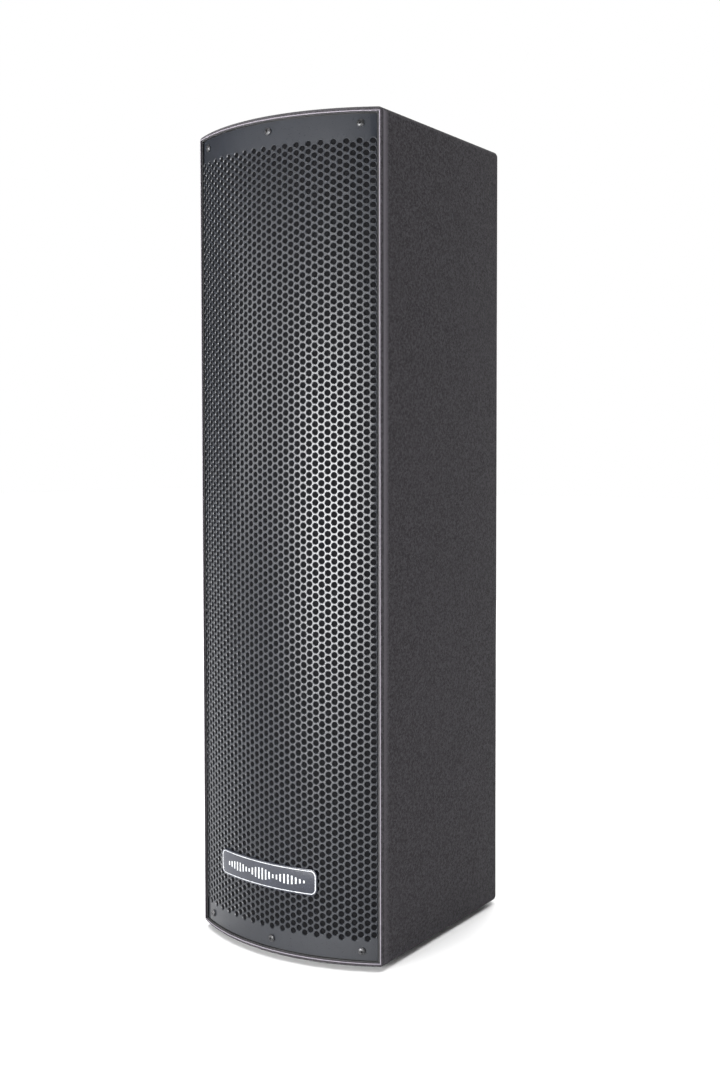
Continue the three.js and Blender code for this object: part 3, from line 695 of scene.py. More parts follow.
def finish(name):
    """The material for a slot or a small trim, made the first time it is asked for."""
    made = bpy.data.materials.get(f"{name}_finish")
    if made:
        return made
    recorded, own = RECORD_COLOURS, colours()
    makers = {
        "carpet": carpet_finish,
        "grille_coat": powder_finish,
        "grille_cloth": cloth_finish,
        "painted_wood": painted_wood_finish,
        "bare_wood": bare_wood_finish,
        "cone_paper": paper_finish,
        "circuit_board": board_finish,
        "winding": winding_finish,
        "panel_ink": ink_finish,
        "badge_gloss": lambda: hard_finish(
            "badge_gloss", own.gloss, 0.22, depth=0.000004, dust=0.02, Coat_Weight=0.25, Coat_Roughness=0.08
        ),
        "badge_silver": lambda: brushed_finish("badge_silver", own.silver, 0.24),
        "black_steel": lambda: hard_finish(
            "black_steel", own.steel, 0.42, worn=(0.2, 0.2, 0.21), Specular_IOR_Level=0.55
        ),
        "panel_steel": lambda: hard_finish(
            "panel_steel", own.steel, 0.4, cells=1100.0, depth=0.00004, rubbed=False, Specular_IOR_Level=0.55
        ),
        "screw_steel": lambda: hard_finish(
            "screw_steel", own.steel, 0.34, depth=0.00001, worn=(0.3, 0.3, 0.31), dust=0.04, Metallic=0.6
        ),
        "pressed_steel": lambda: hard_finish("pressed_steel", recorded["pressed_steel"], 0.45),
        "magnet_steel": lambda: hard_finish(
            "magnet_steel", recorded["magnet_steel"], 0.6, cells=350.0, depth=0.0001, Metallic=0.4
        ),
        "rubber": lambda: hard_finish("rubber", recorded["rubber"], 0.8, cells=500.0, depth=0.00005),
        "black_plastic": lambda: hard_finish(
            "black_plastic", own.plastic, 0.48, cells=1300.0, depth=0.00005, worn=(0.06, 0.06, 0.062)
        ),
        "heatsink_aluminium": lambda: brushed_finish(
            "heatsink_aluminium", recorded["heatsink_aluminium"], 0.42
        ),
        "latch_metal": lambda: brushed_finish("latch_metal", recorded["latch_metal"], 0.3),
        "contact_brass": lambda: brushed_finish("contact_brass", (0.62, 0.45, 0.2), 0.3),
    }
    return makers[name]()


# ---------------------------------------------------------------- cabinet

def cabinet_plan(inset):
    """The cabinet's plan, every face moved in by an inset, counter-clockwise from above."""
    form = sizes()
    bow = Bow()
    half = (CAD_HIGH.x - CAD_LOW.x) / 2 - inset
    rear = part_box("carpet_covering")[1].y - inset
    front_corner = max(form.front_corner - inset, 0.0004)
    rear_corner = max(form.rear_corner - inset, 0.0004)
    radius = bow.face - inset
    reach = math.asin((half - front_corner) / (radius - front_corner))
    corner_y = bow.centre_y - (radius - front_corner) * math.cos(reach)

    def arc(cx, cy, r, start, end, steps):
        angles = [start + (end - start) * i / steps for i in range(steps + 1)]
        return [(cx + r * math.cos(angle), cy + r * math.sin(angle)) for angle in angles]

    down = -math.pi / 2
    right = arc(half - front_corner, corner_y, front_corner, down + reach, 0, 6)
    right += arc(half - rear_corner, rear - rear_corner, rear_corner, 0, math.pi / 2, 6)
    left = [(-x, y) for x, y in reversed(right)]
    front = arc(0, bow.centre_y, radius, down - reach, down + reach, 72)[1:-1]
    return front + right + left


def carpet_shell():
    """The outer form with rounded edges, open at the front and back, its carpet folded into both openings."""
    form = sizes()
    low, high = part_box("carpet_covering")
    radius, steps = form.edge_radius, 6
    turns = np.linspace(0, math.pi / 2, steps + 1)
    rises = [(radius * (1 - math.sin(t)), radius * (1 - math.cos(t))) for t in turns]
    rings = [[(x, y, low.z + lift) for x, y in cabinet_plan(inset)] for inset, lift in rises]
    rings += [[(x, y, high.z - lift) for x, y in cabinet_plan(inset)] for inset, lift in reversed(rises)]
    shell = Form().loft(rings)
    bm = shell.bm
    bmesh.ops.recalc_face_normals(bm, faces=bm.faces)
    back_low, back_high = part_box("back_panel")
    lap = 0.0005  # the carpet covers this much of the back panel's edge
    openings = [
        ("front", high.x - form.lip_side, low.z + form.lip_end, high.z - form.lip_end, 0.0046),
        ("rear", back_high.x - lap, back_low.z + lap, back_high.z - lap, back_high.y - high.y + 0.0002),
    ]
    for side, x, z_low, z_high, fold in openings:
        for point, normal in (((x, 0, 0), (1, 0, 0)), ((-x, 0, 0), (1, 0, 0)),
                              ((0, 0, z_low), (0, 0, 1)), ((0, 0, z_high), (0, 0, 1))):
            everything = bm.verts[:] + bm.edges[:] + bm.faces[:]
            bmesh.ops.bisect_plane(bm, geom=everything, dist=1e-7, plane_co=point, plane_no=normal)
        facing = -1 if side == "front" else 1
        inside = [
            face for face in bm.faces
            if face.normal.y * facing > 0.5
            and abs(face.calc_center_median().x) < x
            and z_low < face.calc_center_median().z < z_high
        ]
        bmesh.ops.delete(bm, geom=inside, context="FACES")
        rim = [e for e in bm.edges if e.is_boundary and (e.verts[0].co.y * facing > 0.06)]
        made = bmesh.ops.extrude_edge_only(bm, edges=rim)["geom"]
        moved = [v for v in made if isinstance(v, bmesh.types.BMVert)]
        bmesh.ops.translate(bm, verts=moved, vec=(0, fold, 0))
        folds = [e for e in rim if e.is_valid and not e.is_boundary]
        bend = form.lip_fold if side == "front" else form.lip_fold * 3
        bmesh.ops.bevel(bm, geom=folds, offset=bend, segments=3, profile=0.5, affect="EDGES")
    return shell


def clear_normals(obj):
    """Turns every face of an open shell the same way, outwards."""
    bm = bmesh.new()
    bm.from_mesh(obj.data)
    bmesh.ops.recalc_face_normals(bm, faces=bm.faces)
    top = max(bm.faces, key=lambda face: face.calc_center_median().z)
    if top.normal.z < 0:
        bmesh.ops.reverse_faces(bm, faces=bm.faces)
    bm.to_mesh(obj.data)
    bm.free()


def bowed_cloth():
    """The cloth glued to the grille's back, so that it lies behind every hole."""
    low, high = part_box("grille_cloth")
    bow = Bow()
    radius = bow.grille - sizes().sheet - 0.00004
    half = radius * math.asin((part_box("grille_sheet")[1].x - 0.0009) / radius)
    across, up = 72, 120
    cloth = Form()
    rows = []
    for j in range(up + 1):
        z = low.z + (high.z - low.z) * j / up
        row = []
        for i in range(across + 1):
            angle = (-half + 2 * half * i / across) / radius
            row.append((radius * math.sin(angle), bow.centre_y - radius * math.cos(angle), z))
        rows.append(cloth.ring(row))
    for lower, upper in zip(rows, rows[1:]):
        for i in range(across):
            cloth.bm.faces.new((lower[i], lower[i + 1], upper[i + 1], upper[i]))
    obj = cloth.make("grille_backing_cloth")
    thicken(obj, 0.0002)
    return obj, (2 * half, high.z - low.z)


def thicken(obj, thickness, smooth=38):
    walls = obj.modifiers.new("Thickness", "SOLIDIFY")
    walls.thickness = thickness
    walls.offset = -1
    walls.use_even_offset = True
    apply_modifiers(obj)
    shade(obj, smooth)


# ---------------------------------------------------------------- grille

def perforated_sheet():
    """The bowed steel sheet: columns of holes, every other one half a pitch lower, and plain strips above
    and below. Each hole has a rolled front rim, a wall and a back edge, and the sheet is one closed body."""
    form, bow = sizes(), Bow()
    low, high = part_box("grille_sheet")
    pitch, columns, rows = form.hole_pitch, form.hole_columns, form.hole_rows
    step, hole, roll = pitch / 2, form.hole / 2, form.hole_roll
    width = pitch * math.cos(math.pi / 6)
    base = MIDDLE_Z - (rows / 2) * pitch - step
    levels = 2 * rows + 2
    half = bow.grille * math.asin(high.x / bow.grille)

    flat = []  # (along, height) of the sheet's own vertices, front and back alike

    def spot(along, height):
        flat.append((along, height))
        return len(flat) - 1

    edge = [(c - columns / 2) * width for c in range(columns + 1)]
    edge[0], edge[-1] = -half, half
    grid = [[spot(edge[c], base + step * j) for j in range(levels)] for c in range(columns + 1)]
    foot = [spot(s, low.z) for s in edge]
    head = [spot(s, high.z) for s in edge]
    plain, tiles, centres = [], [], []
    for c in range(columns):
        first = 1 - c % 2
        s = (c + 0.5 - columns / 2) * width
        mid = [spot(s, base + step * (first + 2 * k)) for k in range(rows + 1)]
        left, right = grid[c], grid[c + 1]
        for k in range(rows):
            j = first + 2 * k
            tiles.append((right[j + 1], right[j + 2], mid[k + 1], left[j + 2],
                          left[j + 1], left[j], mid[k], right[j]))
            centres.append((s, base + step * (j + 1)))
        if first:
            plain.append((foot[c], foot[c + 1], right[0], left[0]))
            plain.append((left[0], right[0], right[1], mid[0], left[1]))
            plain.append((left[-1], mid[-1], right[-1], head[c + 1], head[c]))
        else:
            plain.append((foot[c], foot[c + 1], right[0], mid[0], left[0]))
            plain.append((left[-2], mid[-1], right[-2], right[-1], left[-1]))
            plain.append((left[-1], right[-1], head[c + 1], head[c]))

    count, n = len(flat), 16
    flat, tiles, centres = np.array(flat), np.array(tiles), np.array(centres)
    angles = np.arange(n) * 2 * np.pi / n
    round_hole = np.stack([np.cos(angles), np.sin(angles)], axis=1)

    def ring(radius):
        return (centres[:, None, :] + radius * round_hole[None]).reshape(-1, 2)

    # Vertices: the front, the back, then three rings a hole: rim's outer edge, rim's inner edge, back edge.
    across = np.concatenate([flat, flat, ring(hole + roll), ring(hole), ring(hole)])
    front_depth = np.where(np.abs(flat[:, 0]) > half - 1e-6, form.edge_roll, 0.0)
    depth = np.concatenate([
        front_depth, np.full(count, form.sheet), np.zeros(len(centres) * n),
        np.full(len(centres) * n, roll * 0.8), np.full(len(centres) * n, form.sheet),
    ])
    radius = bow.grille - depth
    turn = across[:, 0] / bow.grille
    points = np.stack([radius * np.sin(turn), bow.centre_y - radius * np.cos(turn), across[:, 1]], axis=1)

    holes = np.arange(len(centres))[:, None]
    spin = np.arange(n)[None]
    rims = [2 * count + i * len(centres) * n + holes * n + spin for i in range(3)]
    outer, inner, back = rims
    faces = []

    def fan(around, sheet, flip):
        """Five-cornered faces between a tile's outline and its hole's ring."""
        for q in range(8):
            a, b = sheet[:, q], sheet[:, (q + 1) % 8]
            r0, r1, r2 = around[:, 2 * q], around[:, 2 * q + 1], around[:, (2 * q + 2) % n]
            five = np.stack([a, b, r2, r1, r0], axis=1)
            faces.extend((five[:, ::-1] if flip else five).tolist())

    fan(outer, tiles, False)
    after = np.roll(np.arange(n), -1)
    for upper, lower in ((outer, inner), (inner, back)):
        for i in range(n):
            quad = np.stack([upper[:, i], upper[:, after[i]], lower[:, after[i]], lower[:, i]], axis=1)
            faces.extend(quad.tolist())
    fan(back, tiles + count, True)
    faces += plain
    faces += [tuple(count + v for v in reversed(face)) for face in plain]
    border = foot + grid[-1] + head[::-1] + grid[0][::-1]
    for a, b in zip(border, border[1:] + border[:1]):
        faces.append((b, a, a + count, b + count))
    mesh = bpy.data.meshes.new("perforated_grille")
    mesh.from_pydata(points.tolist(), [], faces)
    lay_out(mesh, across, count, (hole, roll, n, len(centres), centres), high.z - low.z, low.z, half)
    obj = bpy.data.objects.new("perforated_grille", mesh)
    bpy.context.scene.collection.objects.link(obj)
    shade(obj, 30)
    follow_bow(mesh, points, depth, turn)
    return obj


def follow_bow(mesh, points, depth, turn):
    """Gives the sheet's flat front the bow's own normals, so that light slides over it evenly."""
    corners = np.empty(len(mesh.loops), np.int32)
    mesh.loops.foreach_get("vertex_index", corners)
    totals = np.empty(len(mesh.polygons), np.int32)
    mesh.polygons.foreach_get("loop_total", totals)
    starts = np.concatenate([[0], np.cumsum(totals)[:-1]])
    flush = np.repeat(np.maximum.reduceat(depth[corners], starts) < 1e-9, totals)
    normals = np.empty(len(mesh.loops) * 3, np.float32)
    mesh.corner_normals.foreach_get("vector", normals)
    outward = np.stack([np.sin(turn), -np.cos(turn), np.zeros_like(turn)], axis=1)
    normals = np.where(flush[:, None], outward[corners], normals.reshape(-1, 3))
    mesh.normals_split_custom_set(normals.tolist())


def lay_out(mesh, across, count, holes, tall, low, half):
    """A flat map of the sheet: its front, with every hole's wall inside that hole, and its back beside it."""
    hole, roll, n, many, centres = holes
    where = across.copy()
    start = 2 * count + many * n
    for part, radius in ((0, hole - 0.0001), (1, hole * 0.7)):
        rows = slice(start + part * many * n, start + (part + 1) * many * n)
        middle_of = np.repeat(centres, n, axis=0)
        where[rows] = middle_of + (across[rows] - middle_of) * radius / hole
    uv = mesh.uv_layers.new(name="OFBake")
    corners = np.empty(len(mesh.loops), np.int32)
    mesh.loops.foreach_get("vertex_index", corners)
    sides = np.empty(len(mesh.polygons) * 3, np.float32)
    mesh.polygons.foreach_get("normal", sides)
    totals = np.empty(len(mesh.polygons), np.int32)
    mesh.polygons.foreach_get("loop_total", totals)
    to_back = np.repeat(sides.reshape(-1, 3)[:, 1] > 0.5, totals)
    in_back = to_back & ((corners < 2 * count) | (corners >= start + many * n))
    flat = np.where(in_back[:, None], across[corners], where[corners])
    placed = np.stack([(flat[:, 0] + half) / tall + 0.3 * in_back, (flat[:, 1] - low) / tall], axis=1)
    uv.data.foreach_set("uv", (0.002 + 0.996 * placed).astype(np.float32).ravel())


# ---------------------------------------------------------------- badge

def sliced(obj, pitch):
    """Cuts a flat piece into upright strips, so that it bends smoothly."""
    bm = bmesh.new()
    bm.from_mesh(obj.data)
    xs = [v.co.x for v in bm.verts]
    x = min(xs) + pitch
    while x < max(xs):
        everything = bm.verts[:] + bm.edges[:] + bm.faces[:]
        bmesh.ops.bisect_plane(bm, geom=everything, dist=1e-7, plane_co=(x, 0, 0), plane_no=(1, 0, 0))
        x += pitch
    bm.to_mesh(obj.data)
    bm.free()
    return obj


def badge_pieces():
    """Gloss plate, its raised line, and a plain row of level bars."""
    form, bow = sizes(), Bow()
    low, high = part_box("badge_plate")
    arc = [bow.grille * math.asin(x / (bow.grille + 0.0015)) for x in (low.x, high.x)]
    width, height = arc[1] - arc[0], high.z - low.z
    centre = ((arc[0] + arc[1]) / 2, (low.z + high.z) / 2)
    corner = 0.0075
    plate = Form().prism(rounded_outline(width, height, corner, 10), 0.0003, 0.0021, centre)
    plate = plate.make("badge_face_plate", bevel=0.0006, segments=3)
    border = form.badge_border

    def inset(by):
        return rounded_outline(width - 2 * by, height - 2 * by, corner - by, 10)

    trim = Form().frame(inset(border), inset(border + form.badge_line), 0.0019, 0.00225, centre)
    bars, reach, half = 23, width * 0.39, 0.00095
    for i in range(bars):
        t = i / (bars - 1)
        swell = abs(math.sin(2.9 * math.pi * t + 0.35)) * (0.45 + 0.55 * math.sin(math.pi * t))
        tall = 0.0028 + 0.0098 * swell
        x = centre[0] - reach + 2 * reach * t
        trim.block((x - half, centre[1] - tall / 2, 0.0019), (x + half, centre[1] + tall / 2, 0.00225))
    trim = trim.make("badge_silver_line", bevel=0.0001, segments=1)
    for obj in (plate, trim):
        sliced(obj, 0.004)
        bow.bend(obj)
        shade(obj, 35)
    return plate, trim


# ---------------------------------------------------------------- screws

def circle(radius, count, turned_by=0.0):
    """Points spaced evenly round the origin."""
    angles = np.arange(count) * (2 * math.pi / count) + turned_by
    return [(radius * math.cos(a), radius * math.sin(a)) for a in angles]


def screw_mesh(radius, rise, length=0.0, shank=0.0, name="pan_head_screw"):
    """A cross-recessed pan head, its seat at z = 0, with a threaded shank below it if one shows."""
    dome = [
        (radius * math.cos(t), rise * (0.42 + 0.58 * math.sin(t)))
        for t in np.linspace(0.0, math.pi / 2, 8)[:-1]
    ]
    profile = [(0.0, 0.0), (radius * 0.97, 0.0), (radius, rise * 0.2)] + dome + [(0.0, rise)]
    if length:
        turns = int(length / (shank * 0.9))
        thread = []
        for i in range(turns):
            z = -length + length * (i + 0.5) / turns
            thread += [(shank * 0.78, z - length * 0.3 / turns), (shank, z)]
        profile = [(0.0, -length - shank), (shank * 0.7, -length)] + thread + [(shank * 0.8, 0.0)] + profile[1:]
    head = Form().lathe(profile, 32).make(name)
    cross = Form()
    arm, thin = radius * 0.56, radius * 0.14
    for turned_by in (0, math.pi / 2):
        wide = [(-arm, -thin), (arm, -thin), (arm, thin), (-arm, thin)]
        tip = [(x * 0.35, y * 0.6) for x, y in wide]
        c, s = math.cos(turned_by), math.sin(turned_by)
        rings = [
            [(c * x - s * y, s * x + c * y, z) for x, y in outline]
            for outline, z in ((tip, rise - radius * 0.62), (wide, rise + 0.001))
        ]
        cut(head, Form().loft(rings))
    mesh = head.data
    bpy.data.objects.remove(head)
    return mesh


def small_screw():
    return bpy.data.meshes.get("small_screw") or screw_mesh(0.0031, 0.0018, name="small_screw")


def spots(form, mesh, places, at_height=0.0):
    """Sets one copy of a screw at each (x, y) in the view's plane, each turned its own way."""
    for i, (x, y) in enumerate(places):
        form.insert(mesh, Matrix.Translation((x, y, at_height)) @ Matrix.Rotation(0.7 * i + 0.3, 4, "Z"))
    return form


# ---------------------------------------------------------------- drivers and horn

def driver_pieces():
    """Pieces of one driver, in the view from the front with the baffle's front face at z = 0."""
    seat, flange = 0.0003, 0.0043
    basket = Form().lathe([
        (0.0685, flange), (0.0805, flange), (0.0825, 0.0035), (0.0825, seat), (0.0722, seat), (0.0712, -0.004),
        (0.0705, -0.012), (0.0665, -0.0165), (0.046, -0.0425), (0.0425, -0.044), (0.02, -0.044), (0.02, -0.0422),
        (0.0405, -0.0418), (0.0438, -0.0405), (0.0655, -0.0145), (0.0685, -0.0115), (0.0685, flange),
    ], 72).make("driver_basket")
    windows = Form()
    for i in range(6):
        angle = (i + 0.5) * math.pi / 3
        c, s = math.cos(angle), math.sin(angle)
        edge = [(0.047, -0.0085), (0.0645, -0.0155), (0.09, -0.0155)]
        outline = edge + [(x, -y) for x, y in reversed(edge)]
        rings = [[(c * x - s * y, s * x + c * y, z) for x, y in outline] for z in (-0.0375, -0.0155)]
        windows.loft(rings)
    cut(basket, windows)
    screw_circle = circle(0.0775, 8, turned_by=0.39)
    screws = spots(Form(), small_screw(), screw_circle, flange).make("driver_screws")
    rim = 0.0555
    cone = Form().lathe([
        (0.0, -0.0105), (0.006, -0.0108), (0.012, -0.0127), (0.017, -0.0165), (0.0192, -0.0198), (0.0205, -0.0192),
        (0.03, -0.0125), (0.041, -0.0055), (0.05, -0.0005), (0.0525, 0.0012), (rim - 0.0045, 0.003), (rim, 0.003),
        (rim, 0.0022), (rim - 0.0044, 0.0021), (0.05, -0.0016), (0.041, -0.0067), (0.03, -0.0138), (0.0172, -0.0225),
        (0.017, -0.052), (0.0164, -0.052), (0.0164, -0.0225), (0.0, -0.0125),
    ][::-1], 72).make("driver_cone", smooth=50)
    half_turn = np.linspace(0, math.pi, 15)
    roll, under = (
        [(0.062 + radius * math.cos(t), 0.0037 + radius * math.sin(t)) for t in turns]
        for radius, turns in ((0.0058, half_turn), (0.005, half_turn[::-1]))
    )
    profile = [(0.076, 0.0046), (0.076, 0.0054), (0.069, 0.0054)] + roll + [(0.0525, 0.0041), (0.0525, 0.0033)]
    profile += under + [(0.0682, 0.0046), (0.076, 0.0046)]
    surround = Form().lathe(profile, 72).make("driver_surround", smooth=50)
    front = -0.0443
    magnet = Form().lathe([
        (0.0154, front), (0.036, front), (0.036, front - 0.005), (0.0445, front - 0.005), (0.045, front - 0.0056),
        (0.045, front - 0.0214), (0.0445, front - 0.022), (0.041, front - 0.022), (0.041, front - 0.0276),
        (0.0405, front - 0.028), (0.006, front - 0.028), (0.005, front - 0.027), (0.0, front - 0.027),
    ][::-1], 72).make("driver_magnet", bevel=0.0003, segments=1)
    return {"basket": basket, "screws": screws, "cone": cone, "surround": surround, "magnet": magnet}


def horn_form():
    """Flared horn with rounded mouth corners, its flange flush on the baffle."""
    low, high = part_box("horn")
    deep = high.y - low.y - 0.0043
    width, height = high.x - low.x, high.z - low.z
    mouth = (width - 0.02, height - 0.018)
    throat = 0.024

    def ring(t, grow, z):
        open_ = (1 - t) ** 1.8
        w = throat + (mouth[0] - throat) * open_ + 2 * grow
        h = throat + (mouth[1] - throat) * open_ + 2 * grow
        r = min(w, h) * (0.16 + 0.34 * t) - 1e-4
        return [(x, y, z) for x, y in rounded_outline(w, h, r, 8)]

    steps = np.linspace(0, 1, 16)
    lip = 0.0043
    outer_flange = rounded_outline(width, height, 0.008, 8)
    rings = [ring(1.0, 0.0, -deep)]
    rings += [ring(t, 0.0, lip - (lip + deep) * t) for t in reversed(steps[:-1])]
    rings.append([(x * 0.992, y * 0.988, lip) for x, y in outer_flange])
    rings += [[(x, y, z) for x, y in outer_flange] for z in (lip - 0.0012, 0.0003)]
    rings += [ring(max(t, 0.02), 0.003, -deep * t + 0.0003) for t in steps]
    horn = Form()
    made = [horn.ring(r) for r in rings]
    for lower, upper in zip(made, made[1:] + made[:1]):
        horn.bridge(lower, upper, 0)
    return horn.make("horn_flare", smooth=45)


# ---------------------------------------------------------------- rear pieces

def knob_form(name):
    """A ridged, slightly tapered knob on a skirt, with a pointer line over its top and down its side."""
    ridges = sizes().knob_ridges

    def wave(angle, radius, height):
        grip = 0.0028 < height < 0.0112 and radius > 0.004
        return radius - 0.00045 * (0.5 - 0.5 * math.cos(ridges * angle)) if grip else radius

    profile = [
        (0.0, -0.0095), (0.003, -0.0095), (0.003, 0.0), (0.0088, 0.0), (0.009, 0.0003), (0.009, 0.0015),
        (0.0085, 0.0021), (0.0078, 0.0025), (0.00765, 0.0031), (0.0075, 0.005), (0.0073, 0.008), (0.0071, 0.0105),
        (0.0068, 0.0113), (0.0062, 0.0119), (0.0052, 0.012), (0.0044, 0.0116), (0.0, 0.0115),
    ]
    form = Form().lathe(profile, ridges * 6, wave=wave)
    form.block((-0.00045, 0.0014, 0.0113), (0.00045, 0.0064, 0.01215), look=TRIM)
    form.block((-0.00045, 0.0078, 0.0017), (0.00045, 0.00895, 0.00225), look=TRIM)
    return form.make(name, smooth=32)


def text_marks(form, text, x, y, size, raised):
    """Prints a number centred on a place."""
    curve = bpy.data.curves.new("number", "FONT")
    curve.body, curve.size, curve.align_x, curve.align_y = text, size, "CENTER", "CENTER"
    curve.extrude, curve.resolution_u = raised / 2, 3
    letters = bpy.data.objects.new("number", curve)
    bpy.context.scene.collection.objects.link(letters)
    bpy.context.view_layer.update()
    mesh = bpy.data.meshes.new_from_object(letters.evaluated_get(bpy.context.evaluated_depsgraph_get()))
    form.insert(mesh, Matrix.Translation((x, y, raised / 2)))
    bpy.data.objects.remove(letters)
    bpy.data.curves.remove(curve)
    bpy.data.meshes.remove(mesh)


def stroke(form, start, end, width, raised):
    """A printed line."""
    a, b = Vector(start), Vector(end)
    side = (b - a).normalized().orthogonal() * width / 2
    form.prism([tuple(p) for p in (a - side, b - side, b + side, a + side)], 0.0, raised)


def panel_marks():
    """Dial ticks and numbers round every knob, frames and numbers for the two channels, and frames round the output
    and the inlet.
    """
    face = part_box("control_panel")[1].y
    form = Form(at(0, face, 0))
    raised, line = 0.00006, 0.0004

    def bordered(width, height, centre):
        inner = rounded_outline(width - 2 * line, height - 2 * line, 0.0036, 5)
        form.frame(rounded_outline(width, height, 0.004, 5), inner, 0.0, raised, centre)

    for node in KNOB_NODES:
        centre = middle(node)
        spot = Vector((-centre.x, centre.z))
        for i in range(11):
            angle = math.radians(240 - 30 * i)
            far, width = (0.0128, 0.0006) if i % 5 == 0 else (0.012, line)
            direction = Vector((math.cos(angle), math.sin(angle)))
            stroke(form, spot + direction * 0.0108, spot + direction * far, width, raised)
        for number, angle in (("0", math.radians(240)), ("10", math.radians(-60))):
            x, y = spot.x + 0.015 * math.cos(angle), spot.y + 0.015 * math.sin(angle)
            text_marks(form, number, x, y, 0.0036, raised)
    for index, channel in enumerate(CHANNELS):
        z = middle(f"{channel}_volume_knob").z
        bordered(0.178, 0.0425, (0, z))
        text_marks(form, str(index + 1), -0.0845, z + 0.0155, 0.006, raised)
    for node, width, height in (("speaker_output_jack", 0.03, 0.03), ("mains_inlet", 0.048, 0.036)):
        centre = middle(node)
        bordered(width, height, (-centre.x, centre.z))
    return form.make("panel_print", smooth=20)


def socket_form(name, node):
    """Square-flanged input socket: a ring slot for one kind of plug round a hole for the other."""
    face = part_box(node)[1].y
    here = at(middle(node).x, face, middle(node.replace("input_socket", "volume_knob")).z)
    bezel = [(x, y + 0.0027) for x, y in rounded_outline(0.026, 0.0334, 0.003, 6)]
    flange = Form(here).prism(bezel, -0.0025, 0.0).make(name, bevel=0.0006, segments=3)
    cut(flange, Form(here).lathe([(0.0, -0.0012), (0.0108, -0.0012), (0.0112, 0.001), (0.0, 0.001)], 64))
    latch_hole = [(x, y + 0.0152) for x, y in rounded_outline(0.0074, 0.0054, 0.0008, 3)]
    cut(flange, Form(here).prism(latch_hole, -0.004, 0.001))
    core = Form(here).lathe([
        (0.0, -0.03), (0.0116, -0.03), (0.0116, -0.0012), (0.0100, -0.0012), (0.0094, -0.0018), (0.0094, -0.015),
        (0.0074, -0.015), (0.0074, -0.0022), (0.0070, -0.0016), (0.0042, -0.0016), (0.0033, -0.0024),
        (0.0033, -0.019), (0.0, -0.019),
    ], 64).make(name + "_core", smooth=40)
    pin_holes = Form(here)
    for angle in (90, 210, 330):
        spot = (0.0054 * math.cos(math.radians(angle)), 0.0054 * math.sin(math.radians(angle)))
        pin_holes.lathe([(0.0, -0.008), (0.0008, -0.008), (0.0008, 0.001), (0.0, 0.001)], 16, spot)
    cut(core, pin_holes)
    return joined(name, flange, core)


def latch_form(name, node):
    """Pressed metal tab with a thumb groove."""
    low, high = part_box(node)
    here = at(middle(node).x, high.y, middle(node).z)
    outline = rounded_outline(high.x - low.x, high.z - low.z, 0.0008, 4)
    tab = Form(here).prism(outline, low.y - high.y, 0.0).make(name, bevel=0.0003)
    grooves = Form(here)
    for y in (-0.0012, 0.0, 0.0012):
        grooves.block((-0.0026, y - 0.0002, -0.0003), (0.0026, y + 0.0002, 0.001))
    return cut(tab, grooves)


def jack_form():
    """Hexagonal nut and threaded neck of the speaker output, round its open hole."""
    low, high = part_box("speaker_output_jack")
    centre, deep = middle("speaker_output_jack"), low.y - high.y
    here = at(centre.x, high.y, centre.z)
    nut = Form(here).prism(circle(0.0078, 6), -0.0026, -0.0003).make("speaker_output_collar", bevel=0.0004)
    cut(nut, Form(here).lathe([(0.0, -0.004), (0.0052, -0.004), (0.0052, 0.001), (0.0, 0.001)], 48))
    thread = [(0.0051 + 0.00025 * (i % 2), -0.0026 + 0.00035 * i) for i in range(7)]
    body = Form(here).lathe([(0.0, deep), (0.0051, deep), (0.0051, -0.0028)] + thread + [
        (0.0046, 0.0), (0.0036, 0.0), (0.0033, -0.0004), (0.0033, deep + 0.003), (0.0, deep + 0.003),
    ], 48)
    body.block((-0.008, -0.008, deep), (0.008, 0.008, -0.0085))
    return joined("speaker_output", nut, body.make("speaker_output_neck", smooth=40))


def inlet_form():
    """Appliance inlet: flange, deep recess with two cut corners and three flat blades."""
    low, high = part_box("mains_inlet")
    centre, face, deep = middle("mains_inlet"), high.y, low.y - high.y
    w, h = high.x - low.x, high.z - low.z
    here = at(centre.x, face, centre.z)
    flange = Form(here).prism(rounded_outline(w, h, 0.002, 5), -0.0024, 0.0)
    flange = flange.make("mains_inlet_flange", bevel=0.0004)
    half_x, half_y, chamfer = w / 2 - 0.0042, h / 2 - 0.0042, 0.005
    left = [(-half_x, half_y), (-half_x, -half_y + chamfer), (-half_x + chamfer, -half_y)]
    outline = left + [(-x, y) for x, y in reversed(left)]
    cut(flange, Form(here).prism(outline, -0.004, 0.001))
    well = Form(here)
    wider = [(x * 1.09, y * 1.12) for x, y in outline]
    well.frame(wider, outline, deep + 0.001, -0.0012)
    well.prism(wider, deep, deep + 0.0052)
    for x, y in ((-0.007, -0.002), (0.0, 0.0025), (0.007, -0.002)):
        well.block((x - 0.001, y - 0.002, deep + 0.004), (x + 0.001, y + 0.002, -0.006), look=TRIM)
    well = well.make("mains_inlet_well", bevel=0.0002, segments=1)
    return joined("mains_inlet_body", flange, well, smooth=35)


